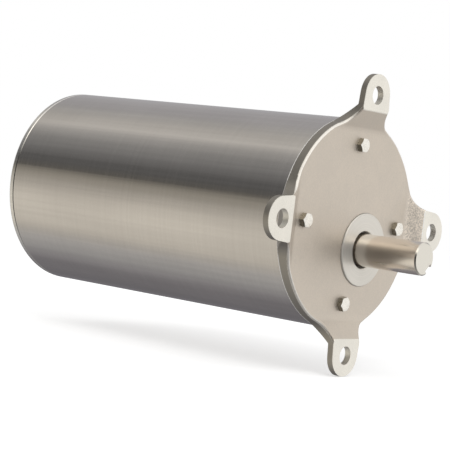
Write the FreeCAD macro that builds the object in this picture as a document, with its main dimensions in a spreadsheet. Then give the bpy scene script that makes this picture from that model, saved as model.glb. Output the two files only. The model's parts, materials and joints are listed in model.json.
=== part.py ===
import FreeCAD, Part
import math
import os
import re
import Sketcher

# Gear motor in a round stainless housing, as a parametric document, in millimetres.
# X runs along the output shaft, outwards. Z points up through the top lug, and Y to the lug on the
# right when the motor is seen from the front. The origin is the centre of the four lugs' machined
# faces, where the motor is bolted on.

doc = FreeCAD.newDocument("GearMotor")

# Driving sizes

SIZES = [
    ("tube_diameter", 159.0, "housing tube, outside"),
    ("tube_wall", 3.0, "wall of the housing tube"),
    ("tube_length", 277.6, "tube between the flange and the rear cover"),
    ("plate_depth", 9.0, "flange plate's face, behind the lugs' machined faces"),
    ("plate_thickness", 8.5, "flange plate at its rim"),
    ("plate_round", 2.0, "round on the flange's front edge"),
    ("seam_chamfer", 0.5, "chamfer at each side of a seam in the housing"),
    ("flange_proud", 0.5, "flange's rim, out from the tube"),
    ("fixing_reach", 18.0, "fixing holes' centres, out from the flange's rim"),
    ("fixing_hole", 14.0, "fixing hole in a lug"),
    ("lug_radius", 15.9, "rounded end of a lug"),
    ("lug_taper", 5.3, "degrees by which each side of a lug spreads towards the body"),
    ("lug_hollow", 20.0, "hollow between a lug and the round flange"),
    ("lug_thickness", 5.0, "lug, from its machined face to its back"),
    ("ramp_out", 6.0, "straight edge of a lug's machined face, out from the flange's rim"),
    ("ramp_in", 9.0, "foot of the ramp below a lug, in from the flange's rim"),
    ("ramp_fillet", 10.0, "fillet at the foot of a ramp"),
    ("lug_back_reach", 11.0, "the sloped back of a lug's neck, out from the flange's rim"),
    ("bolt_inset", 16.5, "flange bolts, in from the tube's bore"),
    ("bolt_thread", 6.0, "flange bolt's thread"),
    ("bolt_flats", 10.0, "flange bolt's head across flats"),
    ("bolt_head", 4.0, "height of a flange bolt's head"),
    ("bolt_length", 25.0, "flange bolt under its head"),
    ("head_flat", 0.95, "flat on a screw's head, as a share of its width across flats"),
    ("spigot_length", 10.0, "spigots of the flange and of the rear cover, inside the tube"),
    ("spigot_wall", 6.5, "wall of the spigots"),
    ("spigot_play", 0.2, "radial clearance of what slides into the tube"),
    ("cord_section", 2.6, "section of the O-rings"),
    ("groove_depth", 2.4, "O-ring groove below the spigot"),
    ("groove_width", 3.2, "O-ring groove along the axis"),
    ("part_play", 0.2, "clearance of a hole over what passes through it"),
    ("slip_fit", 0.05, "radial clearance of threads and sliding seats"),
    ("press_fit", 0.02, "radial gap drawn at a pressed seat"),
    ("cut_over", 1.0, "by which a cut runs past the surface it opens"),
    ("edge_break", 0.5, "chamfer on the ends of shafts and bearings"),
    ("hole_beyond", 2.0, "depth of a tapped hole beyond its screw"),
    ("output_angle", 45.0, "degrees by which the output shaft lies below the right-hand lug"),
    ("shaft_diameter", 25.0, "output shaft"),
    ("shaft_reach", 46.8, "output shaft's end, in front of the lugs' faces"),
    ("shaft_chamfer", 1.0, "chamfer on the shaft's end"),
    ("keyway_width", 8.0, "keyways of the output shaft"),
    ("keyway_depth", 4.0, "depth of those keyways in the shaft"),
    ("keyway_length", 36.0, "open keyway on the shaft's free end"),
    ("carrier_diameter", 56.0, "ring that holds the shaft seal, outside"),
    ("carrier_hole", 28.5, "hole of that ring, round the shaft"),
    ("carrier_proud", 1.2, "ring's face, in front of the flange plate"),
    ("carrier_rim", 5.0, "ring's wide part, let into the plate"),
    ("carrier_length", 10.8, "ring behind the plate's face"),
    ("carrier_play", 0.25, "gap round the ring"),
    ("carrier_lip", 3.2, "thickness of the ring's front wall"),
    ("seal_gap", 0.3, "gap between a seal's lip and its shaft"),
    ("seal_land", 24.6, "output shaft inside its seal"),
    ("land_proud", 0.8, "start of that land, in front of the ring's face"),
    ("seal_outer", 40.0, "output shaft seal, outside"),
    ("seal_case", 1.4, "thickness of a seal's case"),
    ("seal_draft", 0.4, "taper inside that case"),
    ("seal_web", 1.6, "front of a seal, behind its face, where its lip springs from"),
    ("lip_rim", 0.6, "opening in a seal's face, out from its lip"),
    ("lip_back", 1.4, "thickness of the lip"),
    ("lip_slope", 1.2, "back of the lip, behind its edge"),
    ("output_seat", 28.0, "output shaft under its gear"),
    ("output_collar", 31.0, "collar of the output shaft, between bearing and gear"),
    ("spacer_step", 1.0, "output shaft's spacer, in from the gear's seat"),
    ("output_key_height", 7.0, "height of the output gear's key"),
    ("key_room", 0.3, "room above a key in its gear"),
    ("key_end_room", 0.6, "from a key's end to the side of its gear"),
    ("lay_seat", 16.0, "layshaft under its gear"),
    ("lay_body", 18.0, "layshaft between pinion and gear"),
    ("lay_key_width", 5.0, "width of the layshaft gear's key"),
    ("lay_key_depth", 3.0, "depth of its seat in the layshaft"),
    ("lay_key_height", 5.0, "height of that key"),
    ("lay_end_room", 0.3, "ends of the layshaft, in from its bearings' faces"),
    ("rotor_stub", 10.0, "rotor's shaft inside its pinion"),
    ("rotor_neck", 16.0, "rotor's shaft inside its seal"),
    ("rotor_shoulder", 22.0, "rotor's shaft between bearing and core"),
    ("rotor_collar", 2.0, "collar behind the rotor's core, out from its shaft"),
    ("rotor_collar_width", 6.0, "width of that collar"),
    ("tail_step", 2.5, "rotor's shaft before its rear bearing, out from the bore"),
    ("motor_seal_outer", 24.0, "seal between gears and motor, outside"),
    ("motor_seal_width", 7.0, "the same seal's width"),
    ("motor_seal_inset", 0.5, "that seal, behind its wall's face"),
    ("front_bearing_outer", 52.0, "output shaft's front bearing, outside"),
    ("front_bearing_width", 15.0, "the same bearing's width"),
    ("back_bearing_bore", 20.0, "output shaft's rear bearing, bore"),
    ("back_bearing_outer", 42.0, "the same bearing, outside"),
    ("back_bearing_width", 12.0, "the same bearing's width"),
    ("lay_bearing_bore", 12.0, "layshaft bearings, bore"),
    ("lay_bearing_outer", 32.0, "the same bearings, outside"),
    ("lay_bearing_width", 10.0, "the same bearings' width"),
    ("drive_bearing_bore", 17.0, "rotor's front bearing, bore"),
    ("drive_bearing_outer", 40.0, "the same bearing, outside"),
    ("drive_bearing_width", 12.0, "the same bearing's width"),
    ("tail_bearing_bore", 15.0, "rotor's rear bearing, bore"),
    ("tail_bearing_outer", 35.0, "the same bearing, outside"),
    ("tail_bearing_width", 11.0, "the same bearing's width"),
    ("bearing_shield", 1.2, "thickness of a bearing's shields"),
    ("bearing_ring", 0.14, "thickness of a bearing's ring, as a share of outside minus bore"),
    ("shield_gap", 0.4, "gap between a shield and the inner ring"),
    ("snap_width", 1.1, "thickness of the snap ring"),
    ("snap_groove", 1.2, "width of its groove"),
    ("snap_depth", 0.9, "depth of its groove"),
    ("snap_inner", 0.8, "snap ring's bore, in from its shaft's surface"),
    ("snap_outer", 1.6, "snap ring's outside, out from that surface"),
    ("snap_opening", 3.0, "opening of the snap ring"),
    ("tail_beyond", 2.5, "output shaft's rear end, beyond its bearing"),
    ("boss_wall", 7.0, "wall round a bearing in the flange"),
    ("lay_boss_wall", 4.2, "the same round the layshaft's bearing"),
    ("shoulder", 2.5, "wall behind a bearing in the flange"),
    ("gear_space", 4.0, "room between a gear and the wall beside it"),
    ("output_teeth", 44, "teeth of the output gear"),
    ("lay_pinion_teeth", 14, "teeth of the layshaft's pinion"),
    ("output_face", 14.0, "face width of the output gear"),
    ("lay_teeth", 28, "teeth of the layshaft's gear"),
    ("rotor_teeth", 12, "teeth cut on the rotor's shaft"),
    ("input_face", 12.0, "face width of the layshaft's gear"),
    ("pinion_extra", 2.0, "by which each pinion is wider than its gear"),
    ("pressure_angle", 25.0, "degrees, both pairs"),
    ("backlash", 0.12, "play between teeth, on the pitch circle"),
    ("tooth_root", 1.25, "depth of a tooth below the pitch circle, in modules"),
    ("gear_hub", 3.0, "a gear's hub, out from the top of its keyway"),
    ("gear_rim", 2.0, "a gear's rim below its teeth, in modules"),
    ("web_sunk", 0.2, "depth of a gear's web below its side, as a share of the face width"),
    ("tip_room", 1.5, "room between the tips of teeth and the case"),
    ("case_wall", 14.0, "plate between the two pairs of gears"),
    ("passage_step", 4.0, "wall behind the output shaft's rear bearing, in from its outside"),
    ("lay_passage", 2.0, "room round the layshaft in that wall"),
    ("tail_room", 3.0, "room round the output shaft's rear end"),
    ("tail_room_depth", 2.0, "the same room, behind that end"),
    ("case_play", 0.5, "radial clearance of the gear case in the tube"),
    ("case_screw_inset", 8.0, "screws that hold the gear case together, in from the tube's bore"),
    ("case_screw_thread", 5.0, "those screws' thread"),
    ("case_screw_length", 45.0, "those screws under their heads"),
    ("bracket_rim", 12.0, "rim of the motor's front bracket"),
    ("bracket_step", 15.0, "step from the tube's bore to that bracket's body"),
    ("bracket_wall_thickness", 6.0, "walls of the motor's brackets round the bearings and the bodies"),
    ("bracket_floor", 1.0, "front bracket's sunk floor, behind its bearing's face"),
    ("rotor_passage", 2.5, "room round the rotor's shaft in the front bracket"),
    ("skirt_wall", 2.3, "skirts that hold the stator in the tube"),
    ("core_start", 150.0, "front end of the stator's core, behind the lugs' faces"),
    ("stator_depth", 31.1, "depth of the stator's core, from its bore to the tube"),
    ("air_gap", 0.4, "between rotor and stator"),
    ("stator_slots", 24, "slots of the stator"),
    ("slot_opening", 2.6, "mouth of a slot"),
    ("tooth_tip", 2.6, "depth of a slot's mouth"),
    ("slot_neck", 1.2, "slope between a slot's mouth and its full width"),
    ("slot_depth", 16.0, "depth of a slot behind its mouth"),
    ("tooth_width", 6.0, "stator's teeth"),
    ("coil_play", 0.3, "insulation between a coil and its slot"),
    ("coil_front", 22.0, "winding's front end, beyond the core"),
    ("coil_back", 19.0, "winding's rear end, beyond the core"),
    ("coil_reach", 1.0, "winding's ends, out from the slots' bottoms and from their mouths"),
    ("coil_round", 5.0, "corners laid over on the winding's ends"),
    ("coil_gap", 0.8, "gap between the core and the winding's ends"),
    ("coil_overlap", 1.5, "length of the coils' sides beyond the core"),
    ("tie_inset", 6.0, "tie bolts, in from the tube's bore"),
    ("tie_thread", 5.0, "tie bolts' thread"),
    ("tie_room", 3.0, "tie bolts' ends, short of the middle plate"),
    ("rotor_shaft_core", 28.0, "rotor's shaft inside its core"),
    ("cage_bars", 20, "bars of the rotor's cage"),
    ("cage_bar", 6.0, "diameter of a bar"),
    ("cage_inset", 7.0, "centres of the bars, in from the rotor's surface"),
    ("cage_ring", 8.0, "width of an end ring"),
    ("ring_in", 5.0, "end rings, in from the bars"),
    ("ring_out", 2.0, "end rings, out from the bars"),
    ("vane_in", 4.0, "vanes, in from the bars"),
    ("vane_thickness", 2.4, "cooling vanes"),
    ("cage_vane", 8.0, "height of the cooling vanes on the end rings"),
    ("tail_bracket", 14.0, "thickness of the motor's rear bracket"),
    ("tail_dish", 4.0, "depth to which that bracket is dished round its bearing"),
    ("tail_dish_slope", 2.0, "slope of the dish"),
    ("cover_thickness", 4.0, "rear cover"),
    ("cover_edge", 4.9, "rear cover's rim, outside the tube"),
    ("cover_round", 1.5, "round on the rear cover's edge"),
    ("cover_screw_circle", 110.0, "pitch circle of the rear cover's screws"),
    ("cover_screw_thread", 5.0, "those screws' thread"),
    ("screw_flats", 8.0, "heads of the smaller screws, across flats"),
    ("screw_head", 3.5, "heads of the smaller screws, height"),
    ("cover_screw_length", 18.0, "those screws under their heads"),
    ("pillar", 12.0, "diameter of the pillars that take those screws"),
    ("pillar_length", 26.0, "room for wires between the motor and the rear cover"),
    ("gland_thread", 20.0, "cable gland's thread"),
    ("gland_flats", 24.0, "cable gland across flats"),
    ("gland_hex", 6.0, "cable gland's fixed hexagon"),
    ("gland_neck", 12.0, "neck that the gland's nut runs on"),
    ("gland_wall", 3.5, "wall of the gland's body"),
    ("gland_nut_hex", 9.0, "hexagon of the gland's nut"),
    ("gland_dome", 9.0, "dome of the gland's nut"),
    ("dome_start", 0.3, "start of the dome, in from the flats"),
    ("dome_shoulder", 1.2, "shoulder of the dome, in from the flats"),
    ("dome_top", 3.0, "top of the dome, in from the flats"),
    ("mouth_wall", 1.2, "wall of the nut round its mouth"),
    ("gland_bore", 9.0, "hole in the gland's rubber, for the cable"),
    ("rubber_play", 0.3, "gland's rubber, in from the body's bore"),
    ("rubber_inset", 1.0, "gland's rubber, inside the nut's mouth"),
    ("rubber_chamfer", 0.5, "chamfer at the rubber's mouth"),
    ("gland_locknut", 5.0, "thickness of the gland's locknut"),
    ("thread_beyond", 2.0, "gland's thread, beyond its locknut"),
]

sheet = doc.addObject("Spreadsheet::Sheet", "Dims")
where = {}
for row, (name, value, note) in enumerate(SIZES, start=1):
    sheet.set(f"A{row}", name)
    sheet.set(f"B{row}", str(value))
    sheet.set(f"C{row}", note)
    sheet.setAlias(f"B{row}", name)
    where[name] = "Dims." + name
doc.recompute()
size = {name: value for name, value, note in SIZES}

# Places that follow from the sizes, each along X unless its name says otherwise

PLACES = [
    ("tube_radius", "tube_diameter / 2"),
    ("inner_radius", "tube_radius - tube_wall"),
    ("flange_radius", "tube_radius + flange_proud"),
    ("fixing_circle", "2 * (flange_radius + fixing_reach)"),
    ("bolt_circle", "2 * (inner_radius - bolt_inset)"),
    ("case_screw_circle", "2 * (inner_radius - case_screw_inset)"),
    ("tie_circle", "2 * (inner_radius - tie_inset)"),
    ("bracket_body", "inner_radius - bracket_step"),
    ("ramp_top", "flange_radius + ramp_out"),
    ("ramp_foot", "flange_radius - ramp_in"),
    ("plate_face", "-plate_depth"),
    ("plate_back", "plate_face - plate_thickness"),
    ("tube_end", "plate_back - tube_length"),
    ("cover_face", "tube_end - cover_edge"),
    ("cover_inside", "cover_face + cover_thickness"),
    ("spigot_radius", "inner_radius - spigot_play"),
    ("spigot_bore", "spigot_radius - spigot_wall"),
    ("spigot_end", "plate_back - spigot_length"),
    ("groove_start", "plate_back - (spigot_length - groove_width) / 2"),
    ("groove_end", "groove_start - groove_width"),
    ("groove_floor", "spigot_radius - groove_depth"),
    ("ramp_slope", "plate_depth / (ramp_top - ramp_foot)"),
    ("casting_top", "(fixing_circle / 2 + lug_radius + 2 * cut_over - ramp_foot) * ramp_slope - plate_depth"),
    ("output_module", "flange_radius / 40"),
    ("input_module", "flange_radius / 50"),
    ("output_pitch", "output_module * output_teeth / 2"),
    ("lay_pinion_pitch", "output_module * lay_pinion_teeth / 2"),
    ("input_pitch", "input_module * lay_teeth / 2"),
    ("rotor_pitch", "input_module * rotor_teeth / 2"),
    ("lay_offset", "input_pitch + rotor_pitch"),
    ("output_offset", "output_pitch + lay_pinion_pitch - lay_offset"),
    ("output_y", "output_offset * cos(output_angle)"),
    ("output_z", "-output_offset * sin(output_angle)"),
    ("lay_y", "-lay_offset * cos(output_angle)"),
    ("lay_z", "lay_offset * sin(output_angle)"),
    ("shaft_radius", "shaft_diameter / 2"),
    ("carrier_face", "plate_face + carrier_proud"),
    ("carrier_step", "plate_face - carrier_rim"),
    ("carrier_end", "plate_face - carrier_length"),
    ("seal_front", "carrier_face - carrier_lip"),
    ("front_bearing_front", "carrier_end - part_play"),
    ("front_bearing_back", "front_bearing_front - front_bearing_width"),
    ("boss_end", "front_bearing_back - shoulder"),
    ("lay_front_bearing", "boss_end + lay_bearing_width"),
    ("output_gear_front", "boss_end - gear_space"),
    ("output_gear_back", "output_gear_front - output_face"),
    ("case_end", "output_gear_back - gear_space"),
    ("back_bearing_end", "case_end - back_bearing_width"),
    ("wall_end", "case_end - case_wall"),
    ("lay_gear_front", "wall_end - gear_space"),
    ("lay_gear_back", "lay_gear_front - input_face"),
    ("bracket_wall", "lay_gear_back - gear_space"),
    ("lay_back_bearing_end", "bracket_wall - lay_bearing_width"),
    ("drive_bearing_front", "lay_back_bearing_end - shoulder"),
    ("drive_bearing_back", "drive_bearing_front - drive_bearing_width"),
    ("bracket_end", "drive_bearing_back - shoulder"),
    ("bracket_rim_back", "wall_end - bracket_rim"),
    ("case_radius", "inner_radius - case_play"),
    ("core_front", "-core_start"),
    ("tail_back", "cover_inside + pillar_length"),
    ("tail_front", "tail_back + tail_bracket"),
    ("tail_bearing_back", "tail_front - tail_bearing_width"),
    ("coil_back_end", "tail_front + gear_space + shoulder"),
    ("core_back", "coil_back_end + coil_back"),
    ("coil_front_end", "core_front + coil_front"),
    ("stator_bore", "inner_radius - stator_depth"),
    ("rotor_radius", "stator_bore - air_gap"),
    ("cage_circle", "2 * (rotor_radius - cage_inset)"),
    ("slot_inner", "stator_bore + tooth_tip"),
    ("slot_outer", "slot_inner + slot_depth"),
    ("gland_hex_end", "cover_face - gland_hex"),
    ("gland_neck_end", "gland_hex_end - gland_neck"),
    ("gland_nut_end", "gland_hex_end - part_play - gland_nut_hex - gland_dome"),
    ("gland_inner", "gland_thread / 2 - gland_wall"),
    ("case_front", "spigot_end - part_play"),
    ("case_floor", "boss_end - part_play"),
    ("open_key_start", "shaft_reach + keyway_width"),
    ("open_key_end", "shaft_reach - keyway_length + keyway_width / 2"),
    ("gear_key_start", "output_gear_front - key_end_room - keyway_width / 2"),
    ("gear_key_end", "output_gear_back + key_end_room + keyway_width / 2"),
    ("lay_key_start", "lay_gear_front - key_end_room - lay_key_width / 2"),
    ("lay_key_end", "lay_gear_back + key_end_room + lay_key_width / 2"),
    ("output_pinion_front", "output_gear_front + pinion_extra / 2"),
    ("output_pinion_back", "output_gear_back - pinion_extra / 2"),
    ("rotor_pinion_front", "lay_gear_front + pinion_extra / 2"),
    ("rotor_pinion_back", "lay_gear_back - pinion_extra / 2"),
    ("output_tail", "back_bearing_end - tail_beyond"),
    ("motor_seal_front", "bracket_wall - motor_seal_inset"),
    ("motor_seal_back", "motor_seal_front - motor_seal_width"),
]


def full(text):
    """Spells out each named size or place as the document knows it."""
    return re.sub(r"[a-z][a-z_]*", lambda word: where.get(word.group(0), word.group(0)), text)


at = doc.addObject("App::VarSet", "At")
for name, text in PLACES:
    at.addProperty("App::PropertyFloat", name)
    at.setExpression(name, full(text))
    where[name] = "At." + name
doc.recompute()


# The lines of the output shaft and of the layshaft, beside the rotor's

output_line = ("output_y", "output_z")
lay_line = ("lay_y", "lay_z")


# Ways of making things

def origin_part(body, role):
    return next(part for part in body.Origin.OriginFeatures if part.Role == role)


def new_body(label, y=None, z=None, turned=False):
    """An empty body; off the axis it stands at y, z, turned so that its own +Y is the line of shafts."""
    body = doc.addObject("PartDesign::Body", label)
    body.Label = label
    if turned:
        turn = FreeCAD.Rotation(FreeCAD.Vector(-1, 0, 0), size["output_angle"])
        body.Placement = FreeCAD.Placement(FreeCAD.Vector(), turn)
        body.setExpression("Placement.Rotation.Angle", full("output_angle"))
    if y:
        body.setExpression("Placement.Base.y", full(y))
        body.setExpression("Placement.Base.z", full(z))
    return body


def new_sketch(body, name, role="XY_Plane", away=None):
    sketch = body.newObject("Sketcher::SketchObject", name)
    sketch.AttachmentSupport = [(origin_part(body, role), "")]
    sketch.MapMode = "FlatFace"
    if away:
        sketch.setExpression("AttachmentOffset.Base.z", full(away))
    return sketch


def bind(sketch, constraint, text):
    index = sketch.addConstraint(constraint)
    sketch.setExpression(f"Constraints[{index}]", full(text))


def pin(sketch, geometry, point, x, y):
    """Ties a point of a sketch to two named distances from the sketch's origin."""
    here = sketch.getPoint(geometry, point)
    bind(sketch, Sketcher.Constraint("DistanceX", -1, 1, geometry, point, here.x), x)
    bind(sketch, Sketcher.Constraint("DistanceY", -1, 1, geometry, point, here.y), y)


def polygon(sketch, points):
    """A closed outline of straight lines; each point is a pair of expressions."""
    count = len(points)
    first = sketch.GeometryCount
    turns = [2 * math.pi * i / count for i in range(count)]
    away, reach = at.tube_radius, at.tube_radius * 0.6
    corners = [FreeCAD.Vector(reach * math.cos(turn), away + reach * math.sin(turn), 0) for turn in turns]
    for i in range(count):
        sketch.addGeometry(Part.LineSegment(corners[i], corners[(i + 1) % count]), False)
    for i in range(count):
        sketch.addConstraint(Sketcher.Constraint("Coincident", first + i, 2, first + (i + 1) % count, 1))
    for i, (x, y) in enumerate(points):
        pin(sketch, first + i, 1, x, y)


def circle(sketch, radius, x="0", y="0"):
    start = at.tube_radius / 16
    index = sketch.addGeometry(Part.Circle(FreeCAD.Vector(1, 1, 0), FreeCAD.Vector(0, 0, 1), start), False)
    pin(sketch, index, 3, x, y)
    bind(sketch, Sketcher.Constraint("Radius", index, start), radius)


def value(name):
    return getattr(at, name) if where[name].startswith("At.") else getattr(sheet, name)


def slot(sketch, start, end, width):
    """A slot along X with round ends, between two named centres."""
    a, b, half = value(start), value(end), value(width) / 2
    normal = FreeCAD.Vector(0, 0, 1)
    right = Part.ArcOfCircle(Part.Circle(FreeCAD.Vector(a, 0, 0), normal, half), -math.pi / 2, math.pi / 2)
    left = Part.ArcOfCircle(Part.Circle(FreeCAD.Vector(b, 0, 0), normal, half), math.pi / 2, 3 * math.pi / 2)
    upper = Part.LineSegment(FreeCAD.Vector(a, half, 0), FreeCAD.Vector(b, half, 0))
    lower = Part.LineSegment(FreeCAD.Vector(b, -half, 0), FreeCAD.Vector(a, -half, 0))
    for shape in (right, upper, left, lower):
        sketch.addGeometry(shape, False)
    for i in range(4):
        sketch.addConstraint(Sketcher.Constraint("Tangent", i, 2, (i + 1) % 4, 1))
    sketch.addConstraint(Sketcher.Constraint("PointOnObject", 0, 3, -1))
    sketch.addConstraint(Sketcher.Constraint("PointOnObject", 2, 3, -1))
    sketch.addConstraint(Sketcher.Constraint("Equal", 0, 2))
    bind(sketch, Sketcher.Constraint("DistanceX", -1, 1, 0, 3, a), start)
    bind(sketch, Sketcher.Constraint("DistanceX", -1, 1, 2, 3, b), end)
    bind(sketch, Sketcher.Constraint("Radius", 0, half), f"{width} / 2")


def revolve(body, name, points, kind="Revolution"):
    """Turns an outline of (X, radius) points about the body's own X axis."""
    sketch = new_sketch(body, name + "Profile")
    polygon(sketch, points)
    feature = body.newObject("PartDesign::" + kind, name)
    feature.Profile = sketch
    feature.ReferenceAxis = (sketch, ["H_Axis"])
    feature.Angle = 360.0
    body.Tip = feature
    return feature


def extrude(body, name, kind, sketch, length):
    feature = body.newObject("PartDesign::" + kind, name)
    feature.Profile = sketch
    feature.setExpression("Length", full(length))
    body.Tip = feature
    return feature


def pad(body, name, rear, front, draw):
    """Adds material from the plane at rear forwards to front; draw fills the sketch."""
    sketch = new_sketch(body, name + "Sketch", "YZ_Plane", rear)
    draw(sketch)
    return extrude(body, name, "Pad", sketch, f"({front}) - ({rear})")


def pocket(body, name, front, rear, draw):
    """Cuts from the plane at front backwards to rear."""
    sketch = new_sketch(body, name + "Sketch", "YZ_Plane", front)
    draw(sketch)
    return extrude(body, name, "Pocket", sketch, f"({front}) - ({rear})")


def drill(body, name, front, rear, radius, y="0", z="0"):
    return pocket(body, name, front, rear, lambda sketch: circle(sketch, radius, y, z))


def keyway(body, name, start, end, width, floor, depth):
    """Cuts a keyway in the side of a shaft that faces the body's own +Y."""
    sketch = new_sketch(body, name + "Sketch", "XZ_Plane", f"-({floor})")
    slot(sketch, start, end, width)
    return extrude(body, name, "Pocket", sketch, f"2 * ({depth})")


def around(body, name, feature, count):
    pattern = body.newObject("PartDesign::PolarPattern", name)
    pattern.Originals = [feature]
    pattern.Axis = (origin_part(body, "X_Axis"), [""])
    pattern.Angle = 360.0
    pattern.Occurrences = int(count)
    body.Tip = pattern
    return pattern


def edges_where(shape, test):
    return [f"Edge{i}" for i, edge in enumerate(shape.Edges, start=1) if test(edge)]


def dress(body, name, kind, test, amount):
    """Fillets or chamfers the edges of the body, as it is so far, that pass the test."""
    doc.recompute()
    base = body.Tip
    edges = edges_where(base.Shape, test)
    feature = body.newObject("PartDesign::" + kind, name)
    feature.Base = (base, edges)
    feature.setExpression("Radius" if kind == "Fillet" else "Size", full(amount))
    body.Tip = feature
    return feature


def is_ring(edge, x, radius):
    """True for a circular edge about the X axis at this place and radius."""
    curve = edge.Curve
    if not isinstance(curve, Part.Circle):
        return False
    on_axis = math.hypot(curve.Center.y, curve.Center.z) < 1e-3
    return on_axis and abs(curve.Center.x - x) < 1e-3 and abs(curve.Radius - radius) < 1e-3


# Front flange: a casting with four lugs that stand proud of its plate

def lug_outline(sketch):
    """A lug that points up: a round end and two sides that spread towards the body."""
    radius, taper = size["lug_radius"], math.radians(size["lug_taper"])
    centre, foot = at.fixing_circle / 2, at.flange_radius / 2
    side = FreeCAD.Vector(radius * math.cos(taper), centre + radius * math.sin(taper), 0)
    half = radius / math.cos(taper) + (centre - foot) * math.tan(taper)
    right, left = FreeCAD.Vector(half, foot, 0), FreeCAD.Vector(-half, foot, 0)
    middle = FreeCAD.Vector(0, centre, 0)
    round_end = Part.Circle(middle, FreeCAD.Vector(0, 0, 1), radius)
    sketch.addGeometry(Part.LineSegment(right, side), False)
    sketch.addGeometry(Part.ArcOfCircle(round_end, taper, math.pi - taper), False)
    sketch.addGeometry(Part.LineSegment(FreeCAD.Vector(-side.x, side.y, 0), left), False)
    sketch.addGeometry(Part.LineSegment(left, right), False)
    sketch.addConstraint(Sketcher.Constraint("Tangent", 0, 2, 1, 1))
    sketch.addConstraint(Sketcher.Constraint("Tangent", 1, 2, 2, 1))
    sketch.addConstraint(Sketcher.Constraint("Coincident", 2, 2, 3, 1))
    sketch.addConstraint(Sketcher.Constraint("Coincident", 3, 2, 0, 1))
    pin(sketch, 1, 3, "0", "fixing_circle / 2")
    bind(sketch, Sketcher.Constraint("Radius", 1, radius), "lug_radius")
    spread = "lug_radius / cos(lug_taper) + (fixing_circle / 2 - flange_radius / 2) * tan(lug_taper)"
    pin(sketch, 0, 1, spread, "flange_radius / 2")
    pin(sketch, 2, 2, f"-({spread})", "flange_radius / 2")


def square(sketch, half):
    polygon(sketch, [(half, half), (f"-({half})", half), (f"-({half})", f"-({half})"), (half, f"-({half})")])


def front_flange():
    body = new_body("front_flange")
    pad(body, "Disc", "plate_back", "casting_top", lambda sketch: circle(sketch, "flange_radius"))
    lug = pad(body, "Lug", "plate_back", "casting_top", lug_outline)
    around(body, "Lugs", lug, 4)

    def in_corner(edge):
        box = edge.BoundBox
        radius = math.hypot(box.Center.y, box.Center.z)
        return box.XLength > at.flange_radius / 20 and box.DiagonalLength - box.XLength < 1e-4 \
            and abs(radius - at.flange_radius) < 1e-3 and min(abs(box.Center.y), abs(box.Center.z)) > 1

    dress(body, "Hollows", "Fillet", in_corner, "lug_hollow")

    # The plate is sunk between four ramps, which run on past the lugs until the lugs are faced off.
    foot = new_sketch(body, "RampFoot", "YZ_Plane", "plate_face")
    square(foot, "ramp_foot")
    top = new_sketch(body, "RampTop", "YZ_Plane", "casting_top")
    square(top, "ramp_foot + (casting_top + plate_depth) / ramp_slope")
    ramp = body.newObject("PartDesign::SubtractiveLoft", "Ramps")
    ramp.Profile = foot
    ramp.Sections = [top]
    ramp.Ruled = True
    body.Tip = ramp

    doc.recompute()
    foot_x = at.plate_face
    dress(body, "RampFillets", "Fillet",
          lambda edge: isinstance(edge.Curve, Part.Line) and edge.BoundBox.XLength < 1e-6
          and abs(edge.BoundBox.Center.x - foot_x) < 1e-6, "ramp_fillet")
    dress(body, "Rim", "Fillet", lambda edge: is_ring(edge, at.plate_face, at.flange_radius), "plate_round")
    pocket(body, "LugFaces", "casting_top + cut_over", "0", lambda sketch: circle(sketch, "fixing_circle"))
    revolve(body, "LugBacks", [
        ("plate_back", "flange_radius"),
        ("-lug_thickness", "flange_radius + lug_back_reach"),
        ("-lug_thickness", "fixing_circle / 2 + 2 * lug_radius"),
        ("plate_back - cut_over", "fixing_circle / 2 + 2 * lug_radius"),
        ("plate_back - cut_over", "flange_radius"),
    ], "Groove")

    # Behind the plate: the spigot with its O-ring groove, and the bosses of the two front bearings.
    revolve(body, "Spigot", [
        ("plate_back", "spigot_bore"),
        ("plate_back", "spigot_radius"),
        ("groove_start", "spigot_radius"),
        ("groove_start", "groove_floor"),
        ("groove_end", "groove_floor"),
        ("groove_end", "spigot_radius"),
        ("spigot_end + seam_chamfer", "spigot_radius"),
        ("spigot_end", "spigot_radius - seam_chamfer"),
        ("spigot_end", "spigot_bore"),
    ])
    output_boss = "front_bearing_outer / 2 + boss_wall"
    lay_boss = "lay_bearing_outer / 2 + lay_boss_wall"
    pad(body, "OutputBoss", "boss_end", "plate_back",
        lambda sketch: circle(sketch, output_boss, "output_y", "output_z"))
    pad(body, "LayBoss", "boss_end", "plate_back",
        lambda sketch: circle(sketch, lay_boss, "lay_y", "lay_z"))

    drill(body, "CarrierRecess", "plate_face", "carrier_step - part_play",
          "carrier_diameter / 2 + carrier_play", "output_y", "output_z")
    drill(body, "BearingBore", "plate_face", "front_bearing_back",
          "front_bearing_outer / 2", "output_y", "output_z")
    drill(body, "ShaftPassage", "plate_face", "boss_end - cut_over",
          "front_bearing_outer / 2 - shoulder", "output_y", "output_z")
    sketch = new_sketch(body, "LayBoreSketch", "YZ_Plane", "boss_end")
    circle(sketch, "lay_bearing_outer / 2", "lay_y", "lay_z")
    bore = extrude(body, "LayBore", "Pocket", sketch, "lay_bearing_width")
    bore.Reversed = True

    hole = drill(body, "BoltHole", "plate_face", "plate_back - cut_over",
                 "bolt_thread / 2 + part_play", "0", "bolt_circle / 2")
    around(body, "BoltHoles", hole, 4)
    hole = drill(body, "FixingHole", "0", "-lug_thickness - cut_over",
                 "fixing_hole / 2", "0", "fixing_circle / 2")
    around(body, "FixingHoles", hole, 4)
    return body


# Hexagon-headed screws in a ring

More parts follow.
